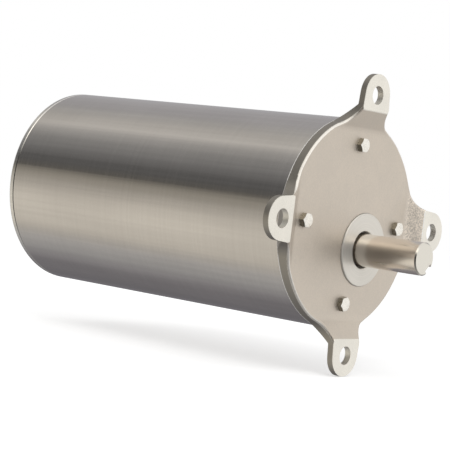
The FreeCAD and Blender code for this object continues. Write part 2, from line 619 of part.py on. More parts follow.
def hex_screws(label, circle_size, head_x, flats, head, thread, length, towards, first=0, turns=(0, 0, 0, 0)):
    """Four screws round the axis; each head stands on the plane at head_x, towards the front or the rear."""
    screws = []
    for number, turn in enumerate(turns):
        tag = f"{label}_{number + 1}"
        angle = first + 90 * number
        hexagon = doc.addObject("Part::Prism", tag + "_hexagon")
        hexagon.Polygon = 6
        hexagon.setExpression("Circumradius", full(f"{flats} / 2 / cos(30)"))
        hexagon.setExpression("Height", full(head))
        crown = doc.addObject("Part::Cone", tag + "_crown")
        crown.setExpression("Radius1", full(f"{flats} / 2 * head_flat + {head} / tan(30)"))
        crown.setExpression("Radius2", full(f"{flats} / 2 * head_flat"))
        crown.setExpression("Height", full(head))
        top = doc.addObject("Part::MultiCommon", tag + "_head")
        top.Shapes = [hexagon, crown]
        shank = doc.addObject("Part::Cylinder", tag + "_shank")
        shank.setExpression("Radius", full(f"{thread} / 2"))
        shank.setExpression("Height", full(length))
        shank.setExpression("Placement.Base.z", full(f"-({length})"))
        screw = doc.addObject("Part::MultiFuse", tag)
        screw.Shapes = [top, shank]
        out = FreeCAD.Rotation(FreeCAD.Vector(0, 1, 0), 90 * towards)
        spin = FreeCAD.Rotation(FreeCAD.Vector(0, 0, 1), 30 + turn)
        screw.Placement = FreeCAD.Placement(FreeCAD.Vector(), out.multiply(spin))
        screw.setExpression("Placement.Base.x", full(head_x))
        screw.setExpression("Placement.Base.y", full(f"({circle_size}) / 2 * sin({angle})"))
        screw.setExpression("Placement.Base.z", full(f"({circle_size}) / 2 * cos({angle})"))
        screws.append(screw)
    group = doc.addObject("Part::Compound", label)
    group.Label = label
    group.Links = screws
    return group


# Housing

def housing_tube():
    body = new_body("housing_tube")
    revolve(body, "Wall", [
        ("plate_back", "inner_radius"),
        ("plate_back", "tube_radius - seam_chamfer"),
        ("plate_back - seam_chamfer", "tube_radius"),
        ("tube_end + seam_chamfer", "tube_radius"),
        ("tube_end", "tube_radius - seam_chamfer"),
        ("tube_end", "inner_radius"),
    ])
    return body


def rear_cover():
    body = new_body("rear_cover")
    revolve(body, "Cap", [
        ("cover_face", "0"),
        ("cover_face", "tube_radius"),
        ("tube_end - seam_chamfer", "tube_radius"),
        ("tube_end", "tube_radius - seam_chamfer"),
        ("tube_end", "spigot_radius"),
        ("tube_end + plate_back - groove_start", "spigot_radius"),
        ("tube_end + plate_back - groove_start", "groove_floor"),
        ("tube_end + plate_back - groove_end", "groove_floor"),
        ("tube_end + plate_back - groove_end", "spigot_radius"),
        ("tube_end + spigot_length - seam_chamfer", "spigot_radius"),
        ("tube_end + spigot_length", "spigot_radius - seam_chamfer"),
        ("tube_end + spigot_length", "spigot_bore"),
        ("cover_inside", "spigot_bore"),
        ("cover_inside", "0"),
    ])
    drill(body, "GlandHole", "cover_inside", "cover_face - cut_over", "gland_thread / 2 + part_play")
    hole = drill(body, "ScrewHole", "cover_inside", "cover_face - cut_over",
                 "cover_screw_thread / 2 + part_play",
                 "cover_screw_circle / 2 * sin(45)", "cover_screw_circle / 2 * cos(45)")
    around(body, "ScrewHoles", hole, 4)
    dress(body, "CapRound", "Fillet",
          lambda edge: is_ring(edge, at.cover_face, at.tube_radius), "cover_round")
    return body


def o_ring(label, middle):
    ring = doc.addObject("Part::Torus", label)
    ring.Label = label
    ring.Placement = FreeCAD.Placement(FreeCAD.Vector(), FreeCAD.Rotation(FreeCAD.Vector(0, 1, 0), 90))
    ring.setExpression("Radius1", full("groove_floor + cord_section / 2"))
    ring.setExpression("Radius2", full("cord_section / 2"))
    ring.setExpression("Placement.Base.x", full(middle))
    return ring


# Cable gland in the rear cover

def hexagon(sketch, flats):
    """A hexagon with two corners on the sketch's vertical axis."""
    radius = f"{flats} / 2 / cos(30)"
    polygon(sketch, [(f"{radius} * sin({60 * i})", f"{radius} * cos({60 * i})") for i in range(6)])


def gland_body():
    body = new_body("gland_body")
    pad(body, "Hexagon", "gland_hex_end", "cover_face", lambda sketch: hexagon(sketch, "gland_flats"))
    thread_end = "cover_inside + gland_locknut + thread_beyond"
    pad(body, "Thread", "cover_face", thread_end, lambda sketch: circle(sketch, "gland_thread / 2"))
    pad(body, "Neck", "gland_neck_end", "gland_hex_end", lambda sketch: circle(sketch, "gland_thread / 2"))
    drill(body, "Bore", thread_end + " + cut_over", "gland_neck_end - cut_over", "gland_inner")
    return body


def gland_locknut():
    body = new_body("gland_locknut")
    top = "cover_inside + gland_locknut"
    pad(body, "Nut", "cover_inside", top, lambda sketch: hexagon(sketch, "gland_flats"))
    drill(body, "Hole", top + " + cut_over", "cover_inside - cut_over", "gland_thread / 2 + slip_fit")
    return body


def gland_nut():
    body = new_body("gland_nut")
    front, hex_back = "gland_hex_end - part_play", "gland_hex_end - part_play - gland_nut_hex"
    pad(body, "Hexagon", hex_back, front, lambda sketch: hexagon(sketch, "gland_flats"))
    revolve(body, "Dome", [
        (hex_back, "0"),
        (hex_back, "gland_flats / 2 - dome_start"),
        (f"{hex_back} - gland_dome / 2", "gland_flats / 2 - dome_shoulder"),
        (f"{hex_back} - gland_dome * 3 / 4", "gland_flats / 2 - dome_top"),
        ("gland_nut_end", "gland_inner + mouth_wall"),
        ("gland_nut_end", "0"),
    ])
    drill(body, "Socket", "gland_hex_end", "gland_neck_end - part_play", "gland_thread / 2 + slip_fit")
    drill(body, "Mouth", "gland_hex_end", "gland_nut_end - cut_over", "gland_inner - part_play")
    return body


def gland_seal():
    """The rubber sleeve that the nut squeezes on the cable, nearly flush with the nut's mouth."""
    body = new_body("gland_seal")
    revolve(body, "Sleeve", [
        ("gland_hex_end", "gland_bore / 2"),
        ("gland_hex_end", "gland_inner - rubber_play"),
        ("gland_neck_end", "gland_inner - rubber_play"),
        ("gland_neck_end", "gland_inner - 2 * part_play"),
        ("gland_nut_end + rubber_inset", "gland_inner - 2 * part_play"),
        ("gland_nut_end + rubber_inset", "gland_bore / 2 + rubber_chamfer"),
        ("gland_nut_end + rubber_inset + rubber_chamfer", "gland_bore / 2"),
    ])
    return body


# Shaft seals and the ring that holds the outer one

def seal_carrier():
    body = new_body("seal_carrier", "output_y", "output_z", turned=True)
    revolve(body, "Ring", [
        ("carrier_face", "carrier_hole / 2 + seam_chamfer"),
        ("carrier_face", "carrier_diameter / 2 - seam_chamfer"),
        ("carrier_face - seam_chamfer", "carrier_diameter / 2"),
        ("carrier_step", "carrier_diameter / 2"),
        ("carrier_step", "front_bearing_outer / 2 - part_play"),
        ("carrier_end", "front_bearing_outer / 2 - part_play"),
        ("carrier_end", "seal_outer / 2"),
        ("seal_front", "seal_outer / 2"),
        ("seal_front", "carrier_hole / 2"),
        ("carrier_face - seam_chamfer", "carrier_hole / 2"),
    ])
    return body


def lip_seal(label, front, back, outer, shaft, y=None, z=None):
    """A rotary seal: a flat front, a thin lip that leans on the shaft and an open back."""
    body = new_body(label, y, z, turned=True)
    lip = f"{shaft} + seal_gap"
    revolve(body, "Seal", [
        (front, f"{lip} + lip_rim"),
        (front, outer),
        (back, outer),
        (back, f"{outer} - seal_case"),
        (f"{front} - seal_case", f"{outer} - seal_case - seal_draft"),
        (f"{front} - seal_web", f"({lip}) * 2 / 3 + {outer} / 3"),
        (f"({front} + {back}) / 2 - lip_slope", f"{lip} + lip_back"),
        (f"({front} + {back}) / 2", lip),
    ])
    return body


# Bearings: an outer ring with its shields, which stays, and an inner ring, which turns with its shaft

def bearing_outer(label, front, bore, outer, width, y=None, z=None):
    body = new_body(label, y, z, turned=True)
    back = f"{front} - {width}"
    thick = f"({outer} - {bore}) * bearing_ring"
    shield = f"{bore} / 2 + {thick} + shield_gap"
    revolve(body, "OuterRing", [
        (front, shield),
        (front, f"{outer} / 2 - edge_break"),
        (f"{front} - edge_break", f"{outer} / 2"),
        (f"{back} + edge_break", f"{outer} / 2"),
        (back, f"{outer} / 2 - edge_break"),
        (back, shield),
        (f"{back} + bearing_shield", shield),
        (f"{back} + bearing_shield", f"{outer} / 2 - {thick}"),
        (f"{front} - bearing_shield", f"{outer} / 2 - {thick}"),
        (f"{front} - bearing_shield", shield),
    ])
    return body


def bearing_inner(label, front, bore, outer, width, y=None, z=None):
    body = new_body(label, y, z, turned=True)
    back = f"{front} - {width}"
    land = f"{bore} / 2 + ({outer} - {bore}) * bearing_ring"
    revolve(body, "InnerRing", [
        (front, f"{bore} / 2 + edge_break"),
        (front, land),
        (back, land),
        (back, f"{bore} / 2 + edge_break"),
        (f"{back} + edge_break", f"{bore} / 2"),
        (f"{front} - edge_break", f"{bore} / 2"),
    ])
    return body


def spacer(label, front, back, inner, outer, y=None, z=None):
    """A plain ring on a shaft, between a gear and its bearing."""
    body = new_body(label, y, z, turned=True)
    revolve(body, "Spacer", [(front, inner), (front, outer), (back, outer), (back, inner)])
    return body


def snap_ring(label, groove_front, seat, y=None, z=None):
    """A ring that springs into a groove; its opening faces the body's own +Y."""
    body = new_body(label, y, z, turned=True)
    front, back = f"{groove_front} - slip_fit", f"{groove_front} - slip_fit - snap_width"
    inner, outer = f"{seat} - snap_inner", f"{seat} + snap_outer"
    revolve(body, "Ring", [(front, inner), (front, outer), (back, outer), (back, inner)])
    low, high, side = f"{seat} / 2", f"{outer} + cut_over", "snap_opening / 2"
    gap = [(low, f"-({side})"), (high, f"-({side})"), (high, side), (low, side)]
    pocket(body, "Opening", f"{front} + cut_over", f"{back} - cut_over", lambda sketch: polygon(sketch, gap))
    return body


# Gears

def involute(angle):
    return math.tan(angle) - angle


def tooth_outline(module, teeth, first):
    """The outline of a spur gear in the YZ plane; first is the angle of one tooth's middle, in degrees."""
    pressure = math.radians(sheet.pressure_angle)
    pitch = module * teeth / 2
    base = pitch * math.cos(pressure)
    root = pitch - sheet.tooth_root * module
    tip = pitch + module
    half = math.pi / (2 * teeth) - sheet.backlash / (2 * pitch) / 2 + involute(pressure)

    def point(radius, angle):
        return FreeCAD.Vector(0, radius * math.cos(angle), radius * math.sin(angle))

    def flank(radius):
        return half - involute(math.acos(min(1.0, base / radius)))

    start = max(root, base)
    middle = (start + tip) / 2
    pitch_angle = 2 * math.pi / teeth
    edges = []
    for i in range(teeth):
        centre = math.radians(first) + i * pitch_angle
        rise = [point(radius, centre - flank(radius)) for radius in (start, middle, tip)]
        fall = [point(radius, centre + flank(radius)) for radius in (tip, middle, start)]
        foot, end = point(root, centre - flank(start)), point(root, centre + flank(start))
        if start > root:
            edges.append(Part.LineSegment(foot, rise[0]))
        edges.append(Part.Arc(*rise))
        edges.append(Part.LineSegment(rise[2], fall[0]))
        edges.append(Part.Arc(*fall))
        if start > root:
            edges.append(Part.LineSegment(fall[2], end))
        edges.append(Part.LineSegment(end, point(root, centre + pitch_angle - flank(start))))
    return Part.Wire([edge.toShape() for edge in edges])


def toothed(module, teeth, first, front, back):
    """A solid of toothed section between two places along X."""
    face = Part.Face(tooth_outline(module, teeth, first))
    face.translate(FreeCAD.Vector(back, 0, 0))
    return face.extrude(FreeCAD.Vector(front - back, 0, 0))


def barrel(front, back, radius):
    return Part.makeCylinder(radius, front - back, FreeCAD.Vector(back, 0, 0), FreeCAD.Vector(1, 0, 0))


def key_block(front, back, width, reach):
    """The space of a keyway that runs from the axis out to reach, towards the piece's own +Y."""
    return Part.makeBox(front - back, reach, width, FreeCAD.Vector(back, 0, -width / 2))


def made_shape(label, shape, y=0.0, z=0.0):
    """A part whose form the features don't cover, set in the line of shafts."""
    part = doc.addObject("Part::Feature", label)
    part.Label = label
    part.Shape = shape.removeSplitter()
    turn = FreeCAD.Rotation(FreeCAD.Vector(-1, 0, 0), sheet.output_angle)
    part.Placement = FreeCAD.Placement(FreeCAD.Vector(0, y, z), turn)
    return part


def gear(label, module, teeth, first, front, back, bore, key_width, key_height, y, z):
    """A gear with a keyed bore and a web thinned on both sides."""
    root = module * (teeth / 2 - sheet.tooth_root)
    before, behind = front + sheet.cut_over, back - sheet.cut_over
    shape = toothed(module, teeth, first, front, back)
    shape = shape.cut(barrel(before, behind, bore))
    shape = shape.cut(key_block(before, behind, key_width, bore + key_height))
    hub, rim = bore + key_height + sheet.gear_hub, root - sheet.gear_rim * module
    sunk = (front - back) * sheet.web_sunk
    if rim > hub:
        for near, far in ((before, front - sunk), (back + sunk, behind)):
            shape = shape.cut(barrel(near, far, rim).cut(barrel(near, far, hub)))
    return made_shape(label, shape, y, z)


# Output shaft and what turns with it

def output_shaft():
    body = new_body("output_shaft", "output_y", "output_z", turned=True)
    revolve(body, "Turned", [
        ("shaft_reach", "0"),
        ("shaft_reach", "shaft_radius - shaft_chamfer"),
        ("shaft_reach - shaft_chamfer", "shaft_radius"),
        ("carrier_face + land_proud", "shaft_radius"),
        ("carrier_face + land_proud", "seal_land / 2"),
        ("front_bearing_front", "seal_land / 2"),
        ("front_bearing_front", "shaft_radius"),
        ("front_bearing_back", "shaft_radius"),
        ("front_bearing_back", "output_collar / 2"),
        ("output_gear_front", "output_collar / 2"),
        ("output_gear_front", "output_seat / 2"),
        ("output_gear_back", "output_seat / 2"),
        ("output_gear_back", "back_bearing_bore / 2"),
        ("back_bearing_end", "back_bearing_bore / 2"),
        ("back_bearing_end", "back_bearing_bore / 2 - snap_depth"),
        ("back_bearing_end - snap_groove", "back_bearing_bore / 2 - snap_depth"),
        ("back_bearing_end - snap_groove", "back_bearing_bore / 2"),
        ("output_tail + edge_break", "back_bearing_bore / 2"),
        ("output_tail", "back_bearing_bore / 2 - edge_break"),
        ("output_tail", "0"),
    ])
    keyway(body, "OpenKeyway", "open_key_start", "open_key_end", "keyway_width",
           "shaft_radius - keyway_depth", "keyway_depth")
    keyway(body, "GearKeyway", "gear_key_start", "gear_key_end", "keyway_width",
           "output_seat / 2 - keyway_depth", "keyway_depth")
    return body


def feather_key(label, start, end, width, floor, height, y, z):
    """A key with round ends, lying in its seat on the side of a shaft that faces its own +Y."""
    body = new_body(label, y, z, turned=True)
    sketch = new_sketch(body, "KeySketch", "XZ_Plane", f"-({floor})")
    slot(sketch, start, end, width)
    key = extrude(body, "Key", "Pad", sketch, height)
    key.Reversed = True
    return body


def output_gear():
    return gear("output_gear", at.output_module, sheet.output_teeth, 180.0, at.output_gear_front,
                at.output_gear_back, sheet.output_seat / 2, sheet.keyway_width,
                sheet.output_key_height - sheet.keyway_depth + sheet.key_room, at.output_y, at.output_z)


# Layshaft, with a pinion cut on it and a keyed gear

def layshaft():
    body = new_body("layshaft_turned", "lay_y", "lay_z", turned=True)
    front, back = "lay_front_bearing - lay_end_room", "lay_back_bearing_end + lay_end_room"
    revolve(body, "Turned", [
        (front, "0"),
        (front, "lay_bearing_bore / 2 - edge_break"),
        (f"{front} - edge_break", "lay_bearing_bore / 2"),
        ("boss_end - part_play", "lay_bearing_bore / 2"),
        ("boss_end - part_play", "lay_body / 2"),
        ("lay_gear_front", "lay_body / 2"),
        ("lay_gear_front", "lay_seat / 2"),
        ("lay_gear_back", "lay_seat / 2"),
        ("lay_gear_back", "lay_bearing_bore / 2"),
        (f"{back} + edge_break", "lay_bearing_bore / 2"),
        (back, "lay_bearing_bore / 2 - edge_break"),
        (back, "0"),
    ])
    keyway(body, "GearKeyway", "lay_key_start", "lay_key_end", "lay_key_width",
           "lay_seat / 2 - lay_key_depth", "lay_key_depth")
    teeth = toothed(at.output_module, sheet.lay_pinion_teeth, 180.0 / sheet.lay_pinion_teeth,
                    at.output_pinion_front, at.output_pinion_back)
    pinion = made_shape("layshaft_teeth", teeth, at.lay_y, at.lay_z)
    whole = doc.addObject("Part::MultiFuse", "layshaft")
    whole.Label = "layshaft"
    whole.Shapes = [body, pinion]
    return whole


def layshaft_gear():
    return gear("layshaft_gear", at.input_module, sheet.lay_teeth, 0.0, at.lay_gear_front, at.lay_gear_back,
                sheet.lay_seat / 2, sheet.lay_key_width,
                sheet.lay_key_height - sheet.lay_key_depth + sheet.key_room, at.lay_y, at.lay_z)


# Rotor

def rotor_shaft():
    body = new_body("rotor_shaft", turned=True)
    revolve(body, "Turned", [
        ("rotor_pinion_front", "0"),
        ("rotor_pinion_front", "rotor_stub / 2 - edge_break"),
        ("rotor_pinion_front - edge_break", "rotor_stub / 2"),
        ("rotor_pinion_back", "rotor_stub / 2"),
        ("rotor_pinion_back", "rotor_neck / 2"),
        ("drive_bearing_front", "rotor_neck / 2"),
        ("drive_bearing_front", "drive_bearing_bore / 2"),
        ("drive_bearing_back", "drive_bearing_bore / 2"),
        ("drive_bearing_back", "rotor_shoulder / 2"),
        ("core_front", "rotor_shoulder / 2"),
        ("core_front", "rotor_shaft_core / 2"),
        ("core_back", "rotor_shaft_core / 2"),
        ("core_back", "rotor_shaft_core / 2 + rotor_collar"),
        ("core_back - rotor_collar_width", "rotor_shaft_core / 2 + rotor_collar"),
        ("core_back - rotor_collar_width", "tail_bearing_bore / 2 + tail_step"),
        ("tail_front", "tail_bearing_bore / 2 + tail_step"),
        ("tail_front", "tail_bearing_bore / 2"),
        ("tail_bearing_back + edge_break", "tail_bearing_bore / 2"),
        ("tail_bearing_back", "tail_bearing_bore / 2 - edge_break"),
        ("tail_bearing_back", "0"),
    ])
    return body


def rotor_pinion():
    shape = toothed(at.input_module, sheet.rotor_teeth, 180.0 / sheet.rotor_teeth,
                    at.rotor_pinion_front, at.rotor_pinion_back)
    before, behind = at.rotor_pinion_front + sheet.cut_over, at.rotor_pinion_back - sheet.cut_over
    shape = shape.cut(barrel(before, behind, sheet.rotor_stub / 2 + sheet.press_fit))
    return made_shape("rotor_pinion", shape)


def rotor_core():
    body = new_body("rotor_core", turned=True)

    def section(sketch):
        circle(sketch, "rotor_radius")
        circle(sketch, "rotor_shaft_core / 2 + press_fit")

    pad(body, "Stack", "core_back", "core_front", section)
    hole = drill(body, "BarHole", "core_front", "core_back - cut_over",
                 "cage_bar / 2 + slip_fit", "0", "cage_circle / 2")
    around(body, "BarHoles", hole, size["cage_bars"])
    return body


def cage_ring(body, name, near, far):
    inner = "cage_circle / 2 - cage_bar / 2 - ring_in"
    outer = "cage_circle / 2 + cage_bar / 2 + ring_out"
    revolve(body, name, [(near, inner), (near, outer), (far, outer), (far, inner)])


def rotor_cage():
    """The cast cage: two end rings with cooling vanes, joined by bars through the core."""
    body = new_body("rotor_cage", turned=True)
    cage_ring(body, "FrontRing", "core_front", "core_front + cage_ring")
    bar = pad(body, "Bar", "core_back - cut_over", "core_front + cut_over",
              lambda sketch: circle(sketch, "cage_bar / 2", "0", "cage_circle / 2"))
    around(body, "Bars", bar, size["cage_bars"])
    cage_ring(body, "BackRing", "core_back", "core_back - cage_ring")
    low, high = "cage_circle / 2 - cage_bar / 2 - vane_in", "cage_circle / 2 + cage_bar / 2"
    side = "vane_thickness / 2"
    vane = [(f"-({side})", low), (side, low), (side, high), (f"-({side})", high)]
    ends = (("FrontVane", "core_front + cage_ring - cut_over", "core_front + cage_ring + cage_vane"),
            ("BackVane", "core_back - cage_ring - cage_vane", "core_back - cage_ring + cut_over"))
    for name, rear, front in ends:
        one = pad(body, name, rear, front, lambda sketch: polygon(sketch, vane))
        around(body, name + "s", one, size["cage_bars"] / 2)
    return body


# Stator

def stator_core():
    body = new_body("stator_core")

    def section(sketch):
        circle(sketch, "inner_radius - slip_fit")
        circle(sketch, "stator_bore")

    pad(body, "Stack", "core_back", "core_front", section)
    mouth, neck, wide, deep = slot_widths("0")
    left = [(f"-({mouth})", "stator_bore - cut_over"), (f"-({mouth})", "slot_inner"),
            (f"-({neck})", "slot_inner + slot_neck"), (f"-({wide})", deep)]
    right = [(wide, deep), (neck, "slot_inner + slot_neck"),
             (mouth, "slot_inner"), (mouth, "stator_bore - cut_over")]
    outline = left + right
    cut = pocket(body, "Slot", "core_front", "core_back - cut_over", lambda sketch: polygon(sketch, outline))
    around(body, "Slots", cut, size["stator_slots"])
    hole = drill(body, "TieHole", "core_front", "core_back - cut_over", "tie_thread / 2 + part_play",
                 "tie_circle / 2 * sin(45)", "tie_circle / 2 * cos(45)")
    around(body, "TieHoles", hole, 4)
    return body


def slot_widths(play):
    """Half widths of a slot at its mouth, neck and bottom, and the bottom's radius, less some play."""
    neck = f"pi * (slot_inner + slot_neck) / stator_slots - tooth_width / 2 - {play}"
    wide = f"pi * slot_outer / stator_slots - tooth_width / 2 - {play}"
    return "slot_opening / 2", neck, wide, f"slot_outer - {play}"


def coil_ring(body, name, near, far, inwards):
    """One end of the winding, with its corners laid over; near is the end that faces the core."""
    low, high, soft = "slot_inner + coil_reach", "slot_outer + coil_reach", "coil_round"
    revolve(body, name, [
        (near, low), (near, high),
        (f"{far} + {inwards} * {soft}", high), (far, f"{high} - {soft}"),
        (far, f"{low} + {soft}"), (f"{far} + {inwards} * {soft}", low),
    ])


def stator_winding():
    body = new_body("stator_winding")
    coil_ring(body, "FrontEnd", "core_front + coil_gap", "coil_front_end", -1)
    mouth, neck, wide, deep = slot_widths("coil_play")
    low = "slot_inner + slot_neck + coil_play"
    outline = [(f"-({neck})", low), (f"-({wide})", deep), (wide, deep), (neck, low)]
    side = pad(body, "Coil", "core_back - coil_overlap", "core_front + coil_overlap",
               lambda sketch: polygon(sketch, outline))
    around(body, "Coils", side, size["stator_slots"])
    coil_ring(body, "BackEnd", "core_back - coil_gap", "coil_back_end", 1)
    return body


# Gear case, in three castings, and the motor's rear bracket

def screw_ring(body, name, front, back, radius, circle_size, first):
    """Four holes through a casting, at the places of the screws that pass it."""
    y, z = f"{circle_size} / 2 * sin({first})", f"{circle_size} / 2 * cos({first})"
    hole = drill(body, name, front, back, radius, y, z)
    around(body, name + "s", hole, 4)


def gear_case():
    body = new_body("gear_case")
    revolve(body, "Casting", [
        ("plate_back", "0"),
        ("plate_back", "spigot_bore - part_play"),
        ("case_front", "spigot_bore - part_play"),
        ("case_front", "case_radius"),
        ("case_end", "case_radius"),
        ("case_end", "0"),
    ])
    drill(body, "GearRoom", "case_floor", "case_end - cut_over",
          "output_pitch + output_module + tip_room", "output_y", "output_z")
    drill(body, "PinionRoom", "case_floor", "case_end - cut_over",
          "lay_pinion_pitch + output_module + tip_room", "lay_y", "lay_z")
    drill(body, "OutputBossRoom", "plate_back", "case_floor - cut_over",
          "front_bearing_outer / 2 + boss_wall + part_play", "output_y", "output_z")
    drill(body, "LayBossRoom", "plate_back", "case_floor",
          "lay_bearing_outer / 2 + lay_boss_wall + part_play", "lay_y", "lay_z")
    screw_ring(body, "BoltHole", "plate_back", "plate_face - bolt_length - hole_beyond",
               "bolt_thread / 2 + slip_fit", "bolt_circle", 0)
    screw_ring(body, "ScrewHole", "bracket_rim_back + case_screw_length + hole_beyond", "case_end - cut_over",
               "case_screw_thread / 2 + slip_fit", "case_screw_circle", 0)
    return body


def middle_plate():
    body = new_body("middle_plate")
    behind = "wall_end - cut_over"
    revolve(body, "Casting", [
        ("case_end", "0"), ("case_end", "case_radius"), ("wall_end", "case_radius"), ("wall_end", "0"),
    ])
    drill(body, "BearingBore", "case_end", "back_bearing_end", "back_bearing_outer / 2", *output_line)
    drill(body, "ShaftPassage", "case_end", behind, "back_bearing_outer / 2 - passage_step", *output_line)
    drill(body, "LayPassage", "case_end", behind, "lay_body / 2 + lay_passage", *lay_line)
    screw_ring(body, "ScrewHole", "case_end", behind,
               "case_screw_thread / 2 + part_play", "case_screw_circle", 0)
    return body


def motor_bracket():
    body = new_body("motor_bracket")
    skirt = "case_radius - skirt_wall"
    revolve(body, "Casting", [
        ("wall_end", "0"),
        ("wall_end", "case_radius"),
        ("core_front", "case_radius"),
        ("core_front", skirt),
        ("bracket_rim_back", skirt),
        ("bracket_rim_back", "bracket_body"),
        ("bracket_end", "bracket_body"),
        ("bracket_end", "bracket_body - bracket_wall_thickness"),
        ("drive_bearing_front - bracket_floor", "bracket_body - bracket_wall_thickness"),
        ("drive_bearing_front - bracket_floor", "drive_bearing_outer / 2 + bracket_wall_thickness"),
        ("bracket_end", "drive_bearing_outer / 2 + bracket_wall_thickness"),
        ("bracket_end", "0"),
    ])
    drill(body, "GearRoom", "wall_end", "bracket_wall", "input_pitch + input_module + tip_room", *lay_line)
    drill(body, "PinionRoom", "wall_end", "bracket_wall", "rotor_pitch + input_module + tip_room")
    drill(body, "OutputTailRoom", "wall_end", "output_tail - tail_room_depth",
          "back_bearing_bore / 2 + tail_room", *output_line)
    drill(body, "LayBore", "bracket_wall", "lay_back_bearing_end", "lay_bearing_outer / 2", "lay_y", "lay_z")
    drill(body, "SealBore", "bracket_wall", "motor_seal_back", "motor_seal_outer / 2")
    drill(body, "ShaftPassage", "bracket_wall", "bracket_end - cut_over", "rotor_neck / 2 + rotor_passage")
    drill(body, "BearingBore", "drive_bearing_front", "bracket_end - cut_over", "drive_bearing_outer / 2")
    behind = "bracket_rim_back - cut_over"
    screw_ring(body, "ScrewHole", "wall_end", behind,
               "case_screw_thread / 2 + part_play", "case_screw_circle", 0)
    screw_ring(body, "TieHole", "wall_end", behind, "tie_thread / 2 + slip_fit", "tie_circle", 45)
    return body


def rear_bracket():
    body = new_body("rear_bracket")
    skirt = "case_radius - skirt_wall"
    revolve(body, "Casting", [
        ("core_back", skirt),
        ("core_back", "case_radius"),
        ("tail_back", "case_radius"),
        ("tail_back", "0"),
        ("tail_front", "0"),
        ("tail_front", "tail_bearing_outer / 2 + bracket_wall_thickness"),
        ("tail_front - tail_dish", "tail_bearing_outer / 2 + bracket_wall_thickness + tail_dish_slope"),
        ("tail_front - tail_dish", skirt),
    ])
    y, z = "cover_screw_circle / 2 * sin(45)", "cover_screw_circle / 2 * cos(45)"
    pillar = pad(body, "Pillar", "cover_inside", "tail_back",
                 lambda sketch: circle(sketch, "pillar / 2", y, z))
    around(body, "Pillars", pillar, 4)
    drill(body, "BearingBore", "tail_front", "tail_bearing_back", "tail_bearing_outer / 2")
    screw_ring(body, "TieHole", "tail_front", "tail_back - cut_over",
               "tie_thread / 2 + part_play", "tie_circle", 45)
    screw_ring(body, "ScrewHole", "cover_face + cover_screw_length + hole_beyond", "cover_inside - cut_over",
               "cover_screw_thread / 2 + slip_fit", "cover_screw_circle", 45)
    return body


# The whole motor

bearings = [
    ("output_front", "front_bearing_front", "shaft_diameter", "front_bearing", output_line),
    ("output_rear", "case_end", "back_bearing_bore", "back_bearing", output_line),
    ("layshaft_front", "lay_front_bearing", "lay_bearing_bore", "lay_bearing", lay_line),
    ("layshaft_rear", "bracket_wall", "lay_bearing_bore", "lay_bearing", lay_line),
    ("rotor_front", "drive_bearing_front", "drive_bearing_bore", "drive_bearing", (None, None)),
    ("rotor_rear", "tail_front", "tail_bearing_bore", "tail_bearing", (None, None)),
]

parts = [
    front_flange(),
    hex_screws("flange_bolts", "bolt_circle", "plate_face", "bolt_flats", "bolt_head", "bolt_thread",
               "bolt_length", towards=1, turns=(0, 4, 13, -3)),
    o_ring("flange_o_ring", "(groove_start + groove_end) / 2"),
    housing_tube(),
    rear_cover(),
    o_ring("rear_cover_o_ring", "tube_end + plate_back - (groove_start + groove_end) / 2"),
    hex_screws("rear_cover_screws", "cover_screw_circle", "cover_face", "screw_flats", "screw_head",
               "cover_screw_thread", "cover_screw_length", towards=-1, first=45, turns=(5, 0, 11, 20)),
    gland_body(),
    gland_locknut(),
    gland_nut(),
    gland_seal(),
    seal_carrier(),
    lip_seal("output_shaft_seal", "seal_front", "carrier_end",
             "seal_outer / 2", "seal_land / 2", *output_line),
    gear_case(),
    middle_plate(),
    motor_bracket(),
    hex_screws("gear_case_screws", "case_screw_circle", "bracket_rim_back", "screw_flats", "screw_head",
               "case_screw_thread", "case_screw_length", towards=-1),
    lip_seal("motor_shaft_seal", "motor_seal_front", "motor_seal_back",
             "motor_seal_outer / 2", "rotor_neck / 2"),
    stator_core(),
    stator_winding(),
    rear_bracket(),
    hex_screws("tie_bolts", "tie_circle", "tail_back", "screw_flats", "screw_head", "tie_thread",
               "wall_end - tail_back - tie_room", towards=-1, first=45),
    output_shaft(),
    output_gear(),
    feather_key("output_gear_key", "gear_key_start", "gear_key_end", "keyway_width",
                "output_seat / 2 - keyway_depth", "output_key_height", *output_line),
    spacer("output_spacer", "output_gear_back", "case_end", "back_bearing_bore / 2 + slip_fit",
           "output_seat / 2 - spacer_step", *output_line),
    snap_ring("output_snap_ring", "back_bearing_end", "back_bearing_bore / 2", *output_line),
    layshaft(),
    layshaft_gear(),
    feather_key("layshaft_gear_key", "lay_key_start", "lay_key_end", "lay_key_width",
                "lay_seat / 2 - lay_key_depth", "lay_key_height", *lay_line),
    spacer("layshaft_spacer", "lay_gear_back", "bracket_wall", "lay_bearing_bore / 2 + slip_fit",
           "lay_seat / 2", *lay_line),
    rotor_shaft(),
    rotor_pinion(),
    rotor_core(),
    rotor_cage(),
]
for name, front, bore, kind, (y, z) in bearings:
    outer, width = kind + "_outer", kind + "_width"
    parts.append(bearing_outer(name + "_bearing_outer", front, bore, outer, width, y, z))
    parts.append(bearing_inner(name + "_bearing_inner", front, bore, outer, width, y, z))
doc.recompute()

failed = [thing.Name for thing in doc.Objects if "Invalid" in thing.State or "Error" in thing.State]
if failed:
    raise RuntimeError(f"these objects failed: {failed}")
for part in parts:
    if part.Shape.isNull() or not part.Shape.isValid():
        raise RuntimeError(f"{part.Label} has no valid shape")

os.makedirs("parts", exist_ok=True)
for part in parts:
    part.Shape.exportStep(f"parts/{part.Label}.step")
    box = part.Shape.BoundBox
    print(f"{part.Label:32s} solids {len(part.Shape.Solids)}  volume {part.Shape.Volume:10.0f} mm3  "
          f"X {box.XMin:7.1f} to {box.XMax:6.1f}")
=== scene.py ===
import bpy
import json
import math
from mathutils import Matrix, Vector


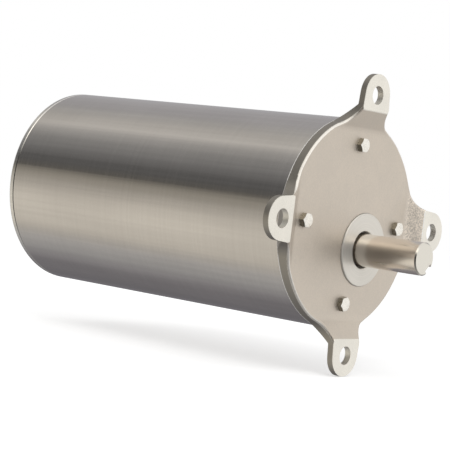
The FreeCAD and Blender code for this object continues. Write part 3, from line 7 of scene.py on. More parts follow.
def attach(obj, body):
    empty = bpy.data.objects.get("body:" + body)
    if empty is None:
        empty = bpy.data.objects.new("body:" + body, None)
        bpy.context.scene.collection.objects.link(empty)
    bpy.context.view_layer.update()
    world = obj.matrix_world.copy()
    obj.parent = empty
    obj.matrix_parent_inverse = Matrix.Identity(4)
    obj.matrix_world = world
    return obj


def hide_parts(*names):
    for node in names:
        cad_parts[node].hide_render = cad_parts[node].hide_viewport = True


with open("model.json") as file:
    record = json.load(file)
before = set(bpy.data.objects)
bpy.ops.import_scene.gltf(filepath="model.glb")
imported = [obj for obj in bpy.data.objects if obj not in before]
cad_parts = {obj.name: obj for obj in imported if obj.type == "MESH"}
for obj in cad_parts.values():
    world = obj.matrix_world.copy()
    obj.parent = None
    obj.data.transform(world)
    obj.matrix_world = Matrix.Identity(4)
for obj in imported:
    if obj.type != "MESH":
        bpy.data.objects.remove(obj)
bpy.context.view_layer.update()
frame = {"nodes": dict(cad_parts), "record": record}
nodes = frame["nodes"]
scene = bpy.context.scene
scene.view_settings.view_transform = "Standard"
print("stage: the packed motor is loaded")

perMetre = 1000  # sizes of the new pieces are in millimetres
samePoint = 1e-6  # metres within which two points are one


def deselectAll():
    bpy.ops.object.select_all(action="DESELECT")


# camera, as the photograph was taken

camera = {
    "place": (0.6713, -0.9831, 0.0231),
    "right": (0.7666, 0.6301, 0.1233),
    "up": (-0.1141, -0.0553, 0.9919),
    "lens": 127.04,
    "sensor": 36.0,
    "nearest": 0.05,
    "farthest": 20.0,
}


def makeCamera(settings):
    lensData = bpy.data.cameras.new("studioCamera")
    lensData.lens = settings["lens"]
    lensData.sensor_width = settings["sensor"]
    lensData.clip_start = settings["nearest"]
    lensData.clip_end = settings["farthest"]
    holder = bpy.data.objects.new("studioCamera", lensData)
    scene.collection.objects.link(holder)
    right = Vector(settings["right"]).normalized()
    back = right.cross(Vector(settings["up"])).normalized()
    up = back.cross(right)
    turn = Matrix((right, up, back)).transposed()
    holder.matrix_world = Matrix.Translation(settings["place"]) @ turn.to_4x4()
    scene.camera = holder


makeCamera(camera)
print("stage: camera")


# nodes that the world, the floor and the finishes are put together from

mixSockets = {"share": 0, "first": 6, "second": 7, "result": 2}  # where a colour Mix node has them
acrossX = (0, 1, 1)  # keeps the part of a vector that is square to the X axis


def mathNode(tree, operation, first, second=None, third=None):
    node = tree.nodes.new("ShaderNodeMath")
    node.operation = operation
    for slot, value in enumerate((first, second, third)):
        if isinstance(value, (int, float)):
            node.inputs[slot].default_value = value
        elif value is not None:
            tree.links.new(value, node.inputs[slot])
    return node.outputs[0]


def vectorNode(tree, operation, first, second=None):
    node = tree.nodes.new("ShaderNodeVectorMath")
    node.operation = operation
    for slot, value in enumerate((first, second)):
        if isinstance(value, tuple):
            node.inputs[slot].default_value = value
        elif value is not None:
            tree.links.new(value, node.inputs[slot])
    return node.outputs["Value" if operation in ("LENGTH", "DOT_PRODUCT") else "Vector"]


def splitAxes(tree, vector):
    parts = tree.nodes.new("ShaderNodeSeparateXYZ")
    tree.links.new(vector, parts.inputs[0])
    return parts.outputs["X"], parts.outputs["Y"], parts.outputs["Z"]


def rangeNode(tree, value, low, high, toLow=0.0, toHigh=1.0):
    node = tree.nodes.new("ShaderNodeMapRange")
    node.interpolation_type = "SMOOTHSTEP"
    node.inputs["From Min"].default_value = low
    node.inputs["From Max"].default_value = high
    node.inputs["To Min"].default_value = toLow
    node.inputs["To Max"].default_value = toHigh
    tree.links.new(value, node.inputs["Value"])
    return node.outputs["Result"]


def mixColours(tree, share, first, second):
    node = tree.nodes.new("ShaderNodeMix")
    node.data_type = "RGBA"
    for name, value in (("share", share), ("first", first), ("second", second)):
        socket = node.inputs[mixSockets[name]]
        if isinstance(value, tuple):
            socket.default_value = (*value, 1)
        else:
            tree.links.new(value, socket)
    return node.outputs[mixSockets["result"]]


def bumpNode(tree, height, strength, depth, normal=None):
    node = tree.nodes.new("ShaderNodeBump")
    node.inputs["Strength"].default_value = strength
    node.inputs["Distance"].default_value = depth
    tree.links.new(height, node.inputs["Height"])
    if normal is not None:
        tree.links.new(normal, node.inputs["Normal"])
    return node.outputs["Normal"]


# 1 for what the camera sees itself or through glass
def seenByCamera(tree, path):
    return mathNode(tree, "MAXIMUM", path.outputs["Is Camera Ray"], path.outputs["Is Transmission Ray"])


# floor and light

studio = {
    "floorHeight": -0.1142,
    "floorSize": 6.0,
    "floorColour": (0.8, 0.8, 0.8),
    "floorGlow": 0.5,
    "worldLight": 0.62,
    "keyPlace": (0.9, -0.7, 1.3),
    "keySize": 0.9,
    "keyPower": 6.0,
    "fillPlace": (-1.0, -0.9, 0.8),
    "fillSize": 0.9,
    "fillPower": 4.0,
    # what polished metal sees round the X axis, in bands: degrees from the camera's side, upwards,
    # then the band's level and its warmth
    "rearBands": [
        (-180, 0.20, -0.7), (-144, 0.17, -0.7), (-110, 0.23, -0.6), (-98, 0.31, -0.4),
        (-86, 0.42, 0.0), (-72, 0.51, 0.2), (-62, 0.55, 0.7), (-54, 0.67, 1.0),
        (-36, 0.75, 1.0), (-24, 0.77, 1.0), (-12, 0.68, 1.0), (0, 0.50, 1.0),
        (10, 0.37, 1.2), (17, 0.24, 1.2), (20, 0.11, 0.6), (23, 0.15, 0.4),
        (26, 0.11, 0.0), (29, 0.15, 0.0), (32, 0.12, 0.0), (36, 0.17, 0.0),
        (46, 0.24, 0.0), (60, 0.32, 0.1), (72, 0.47, 0.3), (81, 0.66, 0.5),
        (94, 0.55, 0.5), (108, 0.49, 0.2), (120, 0.45, -0.2), (144, 0.44, -0.3),
        (180, 0.43, -0.3),
    ],
    "frontBands": [
        (-180, 1.10, 0.2), (-150, 1.02, 0.2), (-135, 0.82, 0.2), (-120, 0.42, 0.2),
        (-90, 0.32, 0.2), (-60, 0.20, 0.2), (-30, 0.05, 0.2), (0, 0.02, 0.2),
        (30, 0.05, 0.2), (46, 0.80, 0.6), (60, 1.90, 0.8), (76, 1.50, 0.4),
        (90, 1.10, 0.2), (120, 1.10, 0.2), (180, 1.10, 0.2),
    ],
    "warmTint": (0.05, 0.105),  # red that a warmth of 1 adds, and blue that it takes
    # how far a direction points along X where the rear bands give way to the front ones, and where
    # each of them gives way to a plain light
    "frontFrom": (-0.15, 0.25),
    "aheadFrom": (0.86, 0.98),
    "aheadLight": 1.15,
    "behindFrom": (-0.76, -0.9),
    "behindLight": 0.7,
}


def addCard(name, place, size, power):
    light = bpy.data.lights.new(name, "AREA")
    light.energy = power
    light.size = size
    holder = bpy.data.objects.new(name, light)
    holder.location = place
    holder.rotation_euler = (-Vector(place)).to_track_quat("-Z", "Y").to_euler()
    holder.visible_glossy = False  # metal sees the world's bands instead
    scene.collection.objects.link(holder)


# the ramp's middle is the camera's side, and its whole width is a full turn
def bandRamp(tree, angle, bands, warmTint):
    ramp = tree.nodes.new("ShaderNodeValToRGB")
    stops = ramp.color_ramp.elements
    while len(stops) > 1:
        stops.remove(stops[-1])
    for index, (degrees, level, warmth) in enumerate(bands):
        place = degrees / 360 + 0.5
        stop = stops[0] if index == 0 else stops.new(place)
        stop.position = place
        red = 1 + warmTint[0] * abs(warmth)
        blue = 1 - warmTint[1] * warmth
        stop.color = (level * red, level, level * blue, 1)
    tree.links.new(angle, ramp.inputs["Fac"])
    return ramp.outputs["Color"]


def plainLight(tree, strength=1.0):
    background = tree.nodes.new("ShaderNodeBackground")
    background.inputs["Color"].default_value = (1, 1, 1, 1)
    background.inputs["Strength"].default_value = strength
    return background


def switchShaders(tree, share, first, second):
    node = tree.nodes.new("ShaderNodeMixShader")
    tree.links.new(share, node.inputs["Fac"])
    tree.links.new(first, node.inputs[1])
    tree.links.new(second, node.inputs[2])
    return node.outputs[0]


def makeWorld(settings):
    world = bpy.data.worlds.new("studioWorld")
    scene.world = world
    world.use_nodes = True
    tree = world.node_tree
    tree.nodes.clear()
    direction = tree.nodes.new("ShaderNodeTexCoord")
    alongX, alongY, alongZ = splitAxes(tree, direction.outputs["Generated"])
    turn = mathNode(tree, "ARCTAN2", alongZ, mathNode(tree, "MULTIPLY", alongY, -1))
    angle = mathNode(tree, "MULTIPLY_ADD", turn, 0.5 / math.pi, 0.5)  # a place on the ramps
    rear = bandRamp(tree, angle, settings["rearBands"], settings["warmTint"])
    front = bandRamp(tree, angle, settings["frontBands"], settings["warmTint"])
    bands = mixColours(tree, rangeNode(tree, alongX, *settings["frontFrom"]), rear, front)
    for side in ("ahead", "behind"):
        share = rangeNode(tree, alongX, *settings[side + "From"])
        bands = mixColours(tree, share, bands, (settings[side + "Light"],) * 3)

    # matt surfaces see plain light, polished ones the bands, and the camera white
    matt = plainLight(tree, settings["worldLight"])
    polished = plainLight(tree)
    tree.links.new(bands, polished.inputs["Color"])
    path = tree.nodes.new("ShaderNodeLightPath")
    lit = switchShaders(tree, path.outputs["Is Glossy Ray"], matt.outputs[0], polished.outputs[0])
    shown = switchShaders(tree, seenByCamera(tree, path), lit, plainLight(tree).outputs[0])
    out = tree.nodes.new("ShaderNodeOutputWorld")
    tree.links.new(shown, out.inputs["Surface"])


def makeFloor(settings):
    deselectAll()
    place = (0, 0, settings["floorHeight"])
    bpy.ops.mesh.primitive_plane_add(size=settings["floorSize"], location=place)
    floor = bpy.context.active_object
    floor.name = "studioFloor"
    bpy.ops.object.transform_apply()
    floor.visible_glossy = False
    paper = bpy.data.materials.new("studioPaper")
    paper.use_nodes = True
    tree = paper.node_tree
    tree.nodes.clear()
    matt = tree.nodes.new("ShaderNodeBsdfDiffuse")
    matt.inputs["Color"].default_value = (*settings["floorColour"], 1)
    lift = tree.nodes.new("ShaderNodeEmission")
    path = tree.nodes.new("ShaderNodeLightPath")
    glow = mathNode(tree, "MULTIPLY", seenByCamera(tree, path), settings["floorGlow"])
    tree.links.new(glow, lift.inputs["Strength"])
    both = tree.nodes.new("ShaderNodeAddShader")
    out = tree.nodes.new("ShaderNodeOutputMaterial")
    tree.links.new(matt.outputs[0], both.inputs[0])
    tree.links.new(lift.outputs[0], both.inputs[1])
    tree.links.new(both.outputs[0], out.inputs["Surface"])
    floor.data.materials.append(paper)


makeWorld(studio)
makeFloor(studio)
addCard("keyLight", studio["keyPlace"], studio["keySize"], studio["keyPower"])
addCard("fillLight", studio["fillPlace"], studio["fillSize"], studio["fillPower"])
print("stage: floor and light")


# effects that several finishes share

noiseSettings = {
    "range": (0.3, 0.7),  # where nearly all of a noise's values lie
    "swing": (0.32, 0.68),  # values that give the darkest and the lightest shade
    "lineDetail": 4,
    "grainDetail": 3,
    "cloudDetail": 2,
    "ringDetail": 3,
    "grainShare": 0.55,  # of the grains in a casting's skin, the rest is clouds
}


def startGroup(name, wanted, given):
    group = bpy.data.node_groups.new(name, "ShaderNodeTree")
    for title, kind, value in wanted:
        socket = group.interface.new_socket(name=title, in_out="INPUT", socket_type="NodeSocket" + kind)
        socket.default_value = value
    for title in given:
        group.interface.new_socket(name=title, in_out="OUTPUT", socket_type="NodeSocketFloat")
    return group, group.nodes.new("NodeGroupInput"), group.nodes.new("NodeGroupOutput")


def noiseNode(tree, place, scale, detail):
    noise = tree.nodes.new("ShaderNodeTexNoise")
    noise.inputs["Detail"].default_value = detail
    tree.links.new(place, noise.inputs["Vector"])
    if isinstance(scale, (int, float)):
        noise.inputs["Scale"].default_value = scale
    else:
        tree.links.new(scale, noise.inputs["Scale"])
    return noise.outputs["Fac"]


def giveShadeAndHeight(group, source, depth, out):
    swing = rangeNode(group, source, *noiseSettings["swing"], -1, 1)
    group.links.new(mathNode(group, "MULTIPLY_ADD", swing, depth, 1.0), out.inputs["Shade"])
    group.links.new(source, out.inputs["Height"])


# fine lines: Stretch is how many of them a metre holds along each axis
def makeBrushedLines():
    group, given, out = startGroup("brushedLines", [
        ("Place", "Vector", (0, 0, 0)), ("Stretch", "Vector", (1, 1, 1)), ("Depth", "Float", 0.05),
    ], ["Shade", "Height"])
    scaled = vectorNode(group, "MULTIPLY", given.outputs["Place"], given.outputs["Stretch"])
    lines = noiseNode(group, scaled, 1.0, noiseSettings["lineDetail"])
    giveShadeAndHeight(group, lines, given.outputs["Depth"], out)
    return group


# the skin of a casting: grains with larger clouds under them
def makeCastSkin():
    group, given, out = startGroup("castSkin", [
        ("Place", "Vector", (0, 0, 0)), ("Grains", "Float", 900.0), ("Clouds", "Float", 60.0),
        ("Depth", "Float", 0.06),
    ], ["Shade", "Height"])
    place = given.outputs["Place"]
    grains = noiseNode(group, place, given.outputs["Grains"], noiseSettings["grainDetail"])
    clouds = noiseNode(group, place, given.outputs["Clouds"], noiseSettings["cloudDetail"])
    share = noiseSettings["grainShare"]
    both = mathNode(group, "MULTIPLY_ADD", clouds, 1 - share, mathNode(group, "MULTIPLY", grains, share))
    giveShadeAndHeight(group, both, given.outputs["Depth"], out)
    return group


# rings that a lathe leaves on a face that is turned about the X axis
def makeTurnedRings():
    group, given, out = startGroup("turnedRings", [
        ("Place", "Vector", (0, 0, 0)), ("Rings", "Float", 1500.0), ("Depth", "Float", 0.05),
    ], ["Shade", "Height"])
    flat = vectorNode(group, "MULTIPLY", given.outputs["Place"], acrossX)
    along = group.nodes.new("ShaderNodeCombineXYZ")
    group.links.new(vectorNode(group, "LENGTH", flat), along.inputs["X"])
    rings = noiseNode(group, along.outputs[0], given.outputs["Rings"], noiseSettings["ringDetail"])
    giveShadeAndHeight(group, rings, given.outputs["Depth"], out)
    return group


# how far a surface faces out from the X axis (Outward) and along it (Forward)
def makeFacing():
    group, given, out = startGroup("facing", [
        ("Place", "Vector", (0, 0, 0)), ("Normal", "Vector", (0, 0, 1)),
    ], ["Outward", "Forward"])
    flat = vectorNode(group, "MULTIPLY", given.outputs["Place"], acrossX)
    unit = vectorNode(group, "NORMALIZE", flat)
    outward = vectorNode(group, "DOT_PRODUCT", unit, given.outputs["Normal"])
    group.links.new(outward, out.inputs["Outward"])
    group.links.new(splitAxes(group, given.outputs["Normal"])[0], out.inputs["Forward"])
    return group


effects = {
    "brushedLines": makeBrushedLines(),
    "castSkin": makeCastSkin(),
    "turnedRings": makeTurnedRings(),
    "facing": makeFacing(),
}


def useEffect(tree, name, place, **values):
    node = tree.nodes.new("ShaderNodeGroup")
    node.node_tree = effects[name]
    tree.links.new(place, node.inputs["Place"])
    for title, value in values.items():
        if hasattr(value, "links"):
            tree.links.new(value, node.inputs[title])
        else:
            node.inputs[title].default_value = value
    return node


def useFacing(tree, place):
    surface = tree.nodes.new("ShaderNodeTexCoord")
    return useEffect(tree, "facing", place, Normal=surface.outputs["Normal"])


# finishes: each says where it differs from this one

plainFinish = {
    "metallic": 1.0,
    "coat": 0.0,
    "coatRoughness": 0.1,
    "specular": 0.5,
    "roughnessSpread": 0.04,
    "bump": 0.1,
    "bumpDepth": 0.0001,
    "shift": (0, 0, 0),
}


# the shader of a finish, and the place that its patterns are read at
def startFinish(name, settings):
    material = bpy.data.materials.new(name)
    material.use_nodes = True
    tree = material.node_tree
    shader = tree.nodes["Principled BSDF"]
    shader.inputs["Metallic"].default_value = settings["metallic"]
    shader.inputs["Roughness"].default_value = settings["roughness"]
    shader.inputs["Coat Weight"].default_value = settings["coat"]
    shader.inputs["Coat Roughness"].default_value = settings["coatRoughness"]
    shader.inputs["Specular IOR Level"].default_value = settings["specular"]
    coordinates = tree.nodes.new("ShaderNodeTexCoord")
    mapping = tree.nodes.new("ShaderNodeMapping")
    mapping.inputs["Location"].default_value = settings["shift"]
    tree.links.new(coordinates.outputs["Object"], mapping.inputs["Vector"])
    return material, tree, shader, mapping.outputs["Vector"]


def setSurface(tree, shader, colour, shade, height, settings):
    tree.links.new(vectorNode(tree, "MULTIPLY", colour, shade), shader.inputs["Base Color"])
    base, spread = settings["roughness"], settings["roughnessSpread"]
    rough = rangeNode(tree, height, *noiseSettings["range"], base - spread, base + spread)
    tree.links.new(rough, shader.inputs["Roughness"])
    normal = bumpNode(tree, height, settings["bump"], settings["bumpDepth"])
    tree.links.new(normal, shader.inputs["Normal"])
    return normal


def makeFinish(name, settings):
    material, tree, shader, place = startFinish(name, settings)
    effect = useEffect(tree, settings["effect"], place, **settings["pattern"])
    setSurface(tree, shader, settings["colour"], effect.outputs["Shade"], effect.outputs["Height"], settings)
    return material


finishes = {
    "coverSteel": {
        "colour": (0.74, 0.72, 0.69), "roughness": 0.16, "bump": 0.06,
        "effect": "brushedLines", "pattern": {"Stretch": (60, 2400, 60), "Depth": 0.07},
    },
    "zincScrew": {
        "colour": (0.46, 0.46, 0.47), "roughness": 0.3, "bump": 0.08,
        "effect": "castSkin", "pattern": {"Grains": 2200.0, "Clouds": 200.0, "Depth": 0.06},
    },
    "nickelBrass": {
        "colour": (0.72, 0.69, 0.64), "roughness": 0.19, "bump": 0.05,
        "effect": "turnedRings", "pattern": {"Rings": 1900.0, "Depth": 0.04},
    },
    "sealRubber": {
        "colour": (0.085, 0.07, 0.06), "roughness": 0.5, "metallic": 0.0, "bump": 0.2, "specular": 0.4,
        "effect": "castSkin", "pattern": {"Grains": 1500.0, "Clouds": 160.0, "Depth": 0.12},
    },
    "blackRubber": {
        "colour": (0.022, 0.022, 0.023), "roughness": 0.6, "metallic": 0.0, "bump": 0.25, "specular": 0.35,
        "effect": "castSkin", "pattern": {"Grains": 1500.0, "Clouds": 160.0, "Depth": 0.12},
    },
    "turnedRing": {
        "colour": (0.72, 0.69, 0.635), "roughness": 0.36, "metallic": 0.55, "bump": 0.5, "bumpDepth": 0.00006,
        "shift": (0, -0.0183848, 0.0183848),  # its rings stand round the output shaft
        "effect": "turnedRings", "pattern": {"Rings": 1100.0, "Depth": 0.05},
    },
    "castAluminium": {
        "colour": (0.56, 0.56, 0.565), "roughness": 0.46, "metallic": 0.9, "bump": 0.35,
        "effect": "castSkin", "pattern": {"Grains": 800.0, "Clouds": 70.0, "Depth": 0.08},
    },
    "varnishedSheets": {
        "colour": (0.20, 0.19, 0.20), "roughness": 0.42, "metallic": 0.8, "bump": 0.5,
        "effect": "brushedLines", "pattern": {"Stretch": (2000, 4, 4), "Depth": 0.25},
    },
    "copperWire": {
        "colour": (0.50, 0.17, 0.07), "roughness": 0.3, "metallic": 0.85, "coat": 0.4, "bump": 0.8,
        "effect": "turnedRings", "pattern": {"Rings": 900.0, "Depth": 0.3},
    },
    "lacingCord": {
        "colour": (0.60, 0.53, 0.40), "roughness": 0.8, "metallic": 0.0, "bump": 0.6, "specular": 0.2,
        "effect": "castSkin", "pattern": {"Grains": 2400.0, "Clouds": 300.0, "Depth": 0.16},
    },
    "cageAluminium": {
        "colour": (0.64, 0.64, 0.65), "roughness": 0.34, "bump": 0.2,
        "effect": "castSkin", "pattern": {"Grains": 900.0, "Clouds": 90.0, "Depth": 0.07},
    },
    "gearSteel": {
        "colour": (0.42, 0.42, 0.43), "roughness": 0.27, "bump": 0.05,
        "effect": "castSkin", "pattern": {"Grains": 1800.0, "Clouds": 120.0, "Depth": 0.07},
    },
    "keySteel": {
        "colour": (0.50, 0.50, 0.51), "roughness": 0.24,
        "effect": "brushedLines", "pattern": {"Stretch": (60, 3000, 3000), "Depth": 0.06},
    },
    "bearingSteel": {
        "colour": (0.68, 0.68, 0.69), "roughness": 0.17, "bump": 0.08,
        "effect": "brushedLines", "pattern": {"Stretch": (3600, 30, 30), "Depth": 0.05},
    },
}

flangeFinish = {
    "plate": (0.605, 0.548, 0.482),
    "lugFace": (0.82, 0.795, 0.735),
    "lugFaceBack": -0.0004,  # the lugs' machined faces lie in front of this
    "side": (0.40, 0.375, 0.335),
    "sideFrom": (0.35, 0.15),
    # painted highlight: near-white colour on the rounded front edge, where it faces out from the X axis
    "edge": (0.90, 0.87, 0.82),
    "edgeFrom": (0.15, 0.3),
    # painted highlight: a pale, less metallic strip at the back of the rim, for the bright line there
    "rearEdgeHighlight": (0.85, 0.83, 0.80),
    "rearEdgeFront": -0.0170,
    "rearEdgeMetal": 0.15,
    "fixingCircle": 0.098,
    "holeEdge": 0.0075,
    "flatFrom": (0.9, 0.98),
    # painted light: how much lighter the ramp on the right is made
    "rampPaintedLight": 1.12,
    "rampSpeckle": 0.38,
    "speckleRange": (0.35, 0.65),
    "speckleFrom": (0.035, 0.06),
    "roughness": 0.52,
    "roughnessSpread": 0.06,
    "bump": 0.3,
    "pattern": {"Grains": 850.0, "Clouds": 55.0, "Depth": 0.07},
}


# 1 inside the four fixing holes, whose centres lie on the Y and Z axes
def insideHoles(tree, acrossY, acrossZ, settings):
    farther = mathNode(tree, "MAXIMUM", acrossY, acrossZ)
    along = mathNode(tree, "SUBTRACT", farther, settings["fixingCircle"])
    across = mathNode(tree, "MINIMUM", acrossY, acrossZ)
    squares = mathNode(tree, "MULTIPLY_ADD", along, along, mathNode(tree, "MULTIPLY", across, across))
    return mathNode(tree, "LESS_THAN", squares, settings["holeEdge"] ** 2)


# the flange: satin casting, with faced lugs, a painted highlight on the rounded front edge and on the rear
# edge, and dark sides
def makeFlangeFinish(settings):
    material, tree, shader, place = startFinish("flangeSteel", settings)
    skin = useEffect(tree, "castSkin", place, **settings["pattern"])
    facing = useFacing(tree, place)
    placeX, placeY, placeZ = splitAxes(tree, place)
    # painted highlight: faces that turn out from the X axis on the front edge take the near-white colour
    outward = rangeNode(tree, facing.outputs["Outward"], *settings["edgeFrom"])
    sideways = rangeNode(tree, facing.outputs["Forward"], *settings["sideFrom"])
    colour = mixColours(tree, outward, settings["plate"], settings["edge"])
    colour = mixColours(tree, sideways, colour, settings["side"])
    # painted highlight: the strip behind rearEdgeFront gets a pale colour and less metal
    behind = mathNode(tree, "LESS_THAN", placeX, settings["rearEdgeFront"])
    colour = mixColours(tree, behind, colour, settings["rearEdgeHighlight"])
    metal = rangeNode(tree, behind, 0, 1, 1, settings["rearEdgeMetal"])
    tree.links.new(metal, shader.inputs["Metallic"])
    faced = mathNode(tree, "GREATER_THAN", placeX, settings["lugFaceBack"])
    acrossY = mathNode(tree, "ABSOLUTE", placeY)
    acrossZ = mathNode(tree, "ABSOLUTE", placeZ)
    bright = mathNode(tree, "MAXIMUM", faced, insideHoles(tree, acrossY, acrossZ, settings))
    colour = mixColours(tree, bright, colour, settings["lugFace"])
    # painted light: the ramp on the right, where the light catches it, is made lighter and its grains are
    # drawn stronger
    ramp = mathNode(tree, "SUBTRACT", 1, rangeNode(tree, facing.outputs["Forward"], *settings["flatFrom"]))
    right = rangeNode(tree, placeY, *settings["speckleFrom"])
    level, swing = settings["rampPaintedLight"], settings["rampSpeckle"]
    speckle = rangeNode(tree, skin.outputs["Height"], *settings["speckleRange"], level - swing, level + swing)
    shade = mixColours(tree, mathNode(tree, "MULTIPLY", ramp, right), skin.outputs["Shade"], speckle)
    setSurface(tree, shader, colour, shade, skin.outputs["Height"], settings)
    return material


tubeFinish = {
    "colour": (0.63, 0.60, 0.572),
    "roughness": 0.12,
    "roughnessSpread": 0.02,
    "bump": 0.02,
    "brushing": {"Stretch": (700, 8, 8), "Depth": 0.016},
    "streaks": {"Stretch": (3, 230, 230), "Depth": 0.024},
    "clouds": {"Stretch": (9, 30, 30), "Depth": 0.03},
    "streakBump": 0.2,
    "streakDepth": 0.0002,
}


# the tube: brushed round, with long faint streaks from drawing
def makeTubeFinish(settings):
    material, tree, shader, place = startFinish("tubeSteel", settings)
    brushing = useEffect(tree, "brushedLines", place, **settings["brushing"])
    streaks = useEffect(tree, "brushedLines", place, **settings["streaks"])
    clouds = useEffect(tree, "brushedLines", place, **settings["clouds"])
    shade = mathNode(tree, "MULTIPLY", brushing.outputs["Shade"], streaks.outputs["Shade"])
    shade = mathNode(tree, "MULTIPLY", shade, clouds.outputs["Shade"])
    normal = setSurface(tree, shader, settings["colour"], shade, brushing.outputs["Height"], settings)
    height = streaks.outputs["Height"]
    drawn = bumpNode(tree, height, settings["streakBump"], settings["streakDepth"], normal)
    tree.links.new(drawn, shader.inputs["Normal"])
    return material


# painted shade: one steel gets one colour on faces square to the X axis and another on the sides, for the
# light that falls there
paintedShadeFinishes = {
    "boltSteel": {
        # painted shade: the hex heads' sides are darker than their tops
        "top": (0.775, 0.75, 0.70), "side": (0.41, 0.39, 0.335), "sideFrom": (0.6, 0.2),
        "roughness": 0.28, "bump": 0.12,
        "effect": "castSkin", "pattern": {"Grains": 1100.0, "Clouds": 240.0, "Depth": 0.1},
    },
    "groundShaft": {
        # painted shade: the shaft's end face is darker than its ground sides
        "top": (0.66, 0.635, 0.58), "side": (0.90, 0.84, 0.77), "sideFrom": (0.6, 0.2),
        "roughness": 0.2, "roughnessSpread": 0.02, "bump": 0.03, "bumpDepth": 0.00005,
        "effect": "brushedLines", "pattern": {"Stretch": (900, 10, 10), "Depth": 0.03},
    },
}


def makePaintedShadeFinish(name, settings):
    material, tree, shader, place = startFinish(name, settings)
    skin = useEffect(tree, settings["effect"], place, **settings["pattern"])
    # painted shade: the colour turns from the face colour to the side colour by which way the surface faces
    forward = mathNode(tree, "ABSOLUTE", useFacing(tree, place).outputs["Forward"])
    side = rangeNode(tree, forward, *settings["sideFrom"])
    colour = mixColours(tree, side, settings["top"], settings["side"])
    setSurface(tree, shader, colour, skin.outputs["Shade"], skin.outputs["Height"], settings)
    return material


made = {name: makeFinish(name, plainFinish | settings) for name, settings in finishes.items()}
made["flangeSteel"] = makeFlangeFinish(plainFinish | flangeFinish)
made["tubeSteel"] = makeTubeFinish(plainFinish | tubeFinish)
for name, settings in paintedShadeFinishes.items():
    made[name] = makePaintedShadeFinish(name, plainFinish | settings)

slotFinish = {
    "flange": "flangeSteel", "tube": "tubeSteel", "cover": "coverSteel", "screws": "boltSteel",
    "inner_screws": "zincScrew", "gland": "nickelBrass", "rubber": "blackRubber", "ring": "turnedRing",
    "castings": "castAluminium", "laminations": "varnishedSheets", "winding": "copperWire",
    "cage": "cageAluminium", "shafts": "groundShaft", "gears": "gearSteel", "keys": "keySteel",
    "bearings": "bearingSteel",
}


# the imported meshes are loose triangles: they are joined for shading only, and sharp edges stay sharp
def dressNode(node, material, sharp):
    node.data.materials.clear()
    node.data.materials.append(material)
    node.data.polygons.foreach_set("use_smooth", [True] * len(node.data.polygons))
    weld = node.modifiers.new("joinPoints", "WELD")
    weld.merge_threshold = samePoint
    split = node.modifiers.new("sharpEdges", "EDGE_SPLIT")
    split.split_angle = sharp
    even = node.modifiers.new("evenShading", "WEIGHTED_NORMAL")
    even.keep_sharp = True


packedSharpEdge = math.radians(30)
for part in frame["record"]["subparts"]:
    dressNode(nodes[part["node"]], made[slotFinish[part["material_slot"]]], packedSharpEdge)
print("stage: finishes on the packed parts")


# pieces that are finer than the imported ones

def settlePiece(piece, material, body, sharp):
    piece.data.materials.clear()
    piece.data.materials.append(material)
    bpy.ops.object.shade_smooth_by_angle(angle=sharp)
    deselectAll()
    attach(piece, body)


def joinAndFaceOut():
    bpy.ops.mesh.select_all(action="SELECT")
    bpy.ops.mesh.remove_doubles(threshold=samePoint)
    bpy.ops.mesh.normals_make_consistent(inside=False)
    bpy.ops.object.mode_set(mode="OBJECT")


# a loop of edges is drawn out along a section, given as places on X and distances from the line
def turnSection(name, section, line, segments):
    deselectAll()
    along, reach = section[0]
    bpy.ops.mesh.primitive_circle_add(
        vertices=segments, radius=reach, location=(along, *line), rotation=(0, math.pi / 2, 0))
    piece = bpy.context.active_object
    piece.name = name
    bpy.ops.object.transform_apply()
    bpy.ops.object.mode_set(mode="EDIT")
    bpy.ops.mesh.select_all(action="SELECT")
    for nextAlong, nextReach in section[1:] + section[:1]:
        bpy.ops.mesh.extrude_region_move(TRANSFORM_OT_translate={"value": (nextAlong - along, 0, 0)})
        grow = nextReach / reach
        bpy.ops.transform.resize(value=(1, grow, grow), center_override=(nextAlong, *line))
        along, reach = nextAlong, nextReach
    joinAndFaceOut()
    return piece


shaftSeal = {
    "line": (0.0183848, -0.0183848),  # the output shaft's, in metres
    "segments": 96,
    "sharp": math.radians(40),
    # the case, the dust lip in front, the lip on the shaft and the groove for its spring, in millimetres
    "section": [
        (-11.3, 20.0), (-11.0, 19.7), (-11.0, 13.7), (-11.1, 12.9), (-11.4, 12.75), (-12.0, 13.3),
        (-13.2, 13.35), (-14.4, 13.0), (-15.4, 12.65), (-16.1, 13.2), (-16.6, 13.9), (-16.4, 14.4),
        (-16.1, 14.05), (-15.6, 13.9), (-15.1, 14.05), (-14.8, 14.45), (-13.9, 14.75), (-12.8, 15.1),
        (-12.45, 16.2), (-12.45, 17.8), (-12.8, 18.2), (-16.0, 18.4), (-19.8, 18.6), (-19.8, 19.7),
        (-19.5, 20.0),
    ],
}

section = [(along / perMetre, reach / perMetre) for along, reach in shaftSeal["section"]]
piece = turnSection("shaftSeal", section, shaftSeal["line"], shaftSeal["segments"])
settlePiece(piece, made["sealRubber"], "housing", shaftSeal["sharp"])
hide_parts("output_shaft_seal")
print("stage: shaft seal")


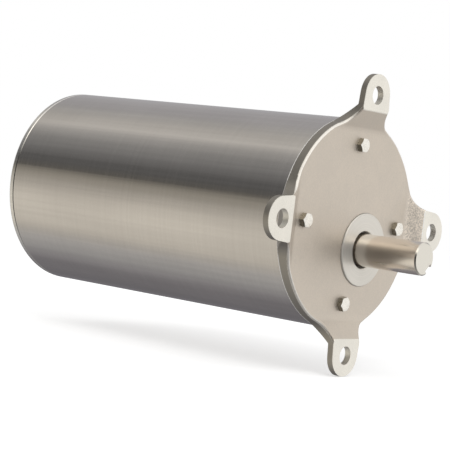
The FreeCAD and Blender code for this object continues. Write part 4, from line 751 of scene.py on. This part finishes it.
windingEnds = {
    # each point: millimetres behind the end's face and out from the axis, and degrees round it
    "strand": [
        (17.5, 65.3, 0), (12.0, 65.4, 4), (5.4, 65.3, 9), (2.1, 62.9, 14), (-0.3, 60.2, 21),
        (-0.6, 57.0, 33), (-0.3, 53.8, 46), (2.1, 51.1, 54), (5.4, 48.7, 60), (12.0, 48.6, 66),
        (17.5, 48.7, 70),
    ],
    "strandThickness": 2.6,
    "strands": 24,
    "strandTurn": 0,
    "lacing": [
        (17.5, 66.6, 0), (5.0, 67.0, -3), (0.8, 64.6, -5), (-1.9, 61.0, -7), (-2.2, 57.0, -8),
        (-1.9, 53.0, -7), (0.8, 49.4, -5), (5.0, 47.0, -3), (17.5, 47.4, 0),
    ],
    "lacingThickness": 1.1,
    "lacings": 24,
    "lacingTurn": 5,
    "splineOrder": 3,
    "stepsBetweenPoints": 3,
    "roundness": 1,
    "sharp": math.radians(60),
    # each end's face on X, and which way lies behind it
    "faces": {"Front": (-128.0, -1), "Back": (-249.5, 1)},
}


# one strand is drawn along its path round the winding's end, and the rest are spun from it
def spinStrands(name, path, thickness, count, firstTurn, settings):
    deselectAll()
    bpy.ops.curve.primitive_nurbs_path_add()
    strand = bpy.context.active_object
    strand.name = name
    curve = strand.data
    curve.splines.remove(curve.splines[0])
    line = curve.splines.new("NURBS")
    line.points.add(len(path) - 1)
    for point, (along, reach, turn) in zip(line.points, path):
        angle = math.radians(turn + firstTurn)
        out = reach / perMetre
        point.co = (along / perMetre, -out * math.sin(angle), out * math.cos(angle), 1)
    line.order_u = settings["splineOrder"]
    line.use_endpoint_u = True
    line.resolution_u = settings["stepsBetweenPoints"]
    curve.bevel_depth = thickness / 2 / perMetre
    curve.bevel_resolution = settings["roundness"]
    curve.use_fill_caps = True
    bpy.ops.object.convert(target="MESH")
    bpy.ops.object.mode_set(mode="EDIT")
    bpy.ops.mesh.select_all(action="SELECT")
    others = count - 1
    turned = 2 * math.pi * others / count
    bpy.ops.mesh.spin(steps=others, dupli=True, angle=turned, center=(0, 0, 0), axis=(1, 0, 0))
    joinAndFaceOut()
    return bpy.context.active_object


def makeWindingEnd(side, face, backwards, settings):
    for title, kind, finish in (("Strands", "strand", "copperWire"), ("Lacing", "lacing", "lacingCord")):
        path = [(face + backwards * behind, reach, turn) for behind, reach, turn in settings[kind]]
        wires = spinStrands(
            "winding" + title + side, path, settings[kind + "Thickness"], settings[kind + "s"],
            settings[kind + "Turn"], settings)
        settlePiece(wires, made[finish], "housing", settings["sharp"])


for side, (face, backwards) in windingEnds["faces"].items():
    makeWindingEnd(side, face, backwards, windingEnds)
print("stage: ends of the winding")
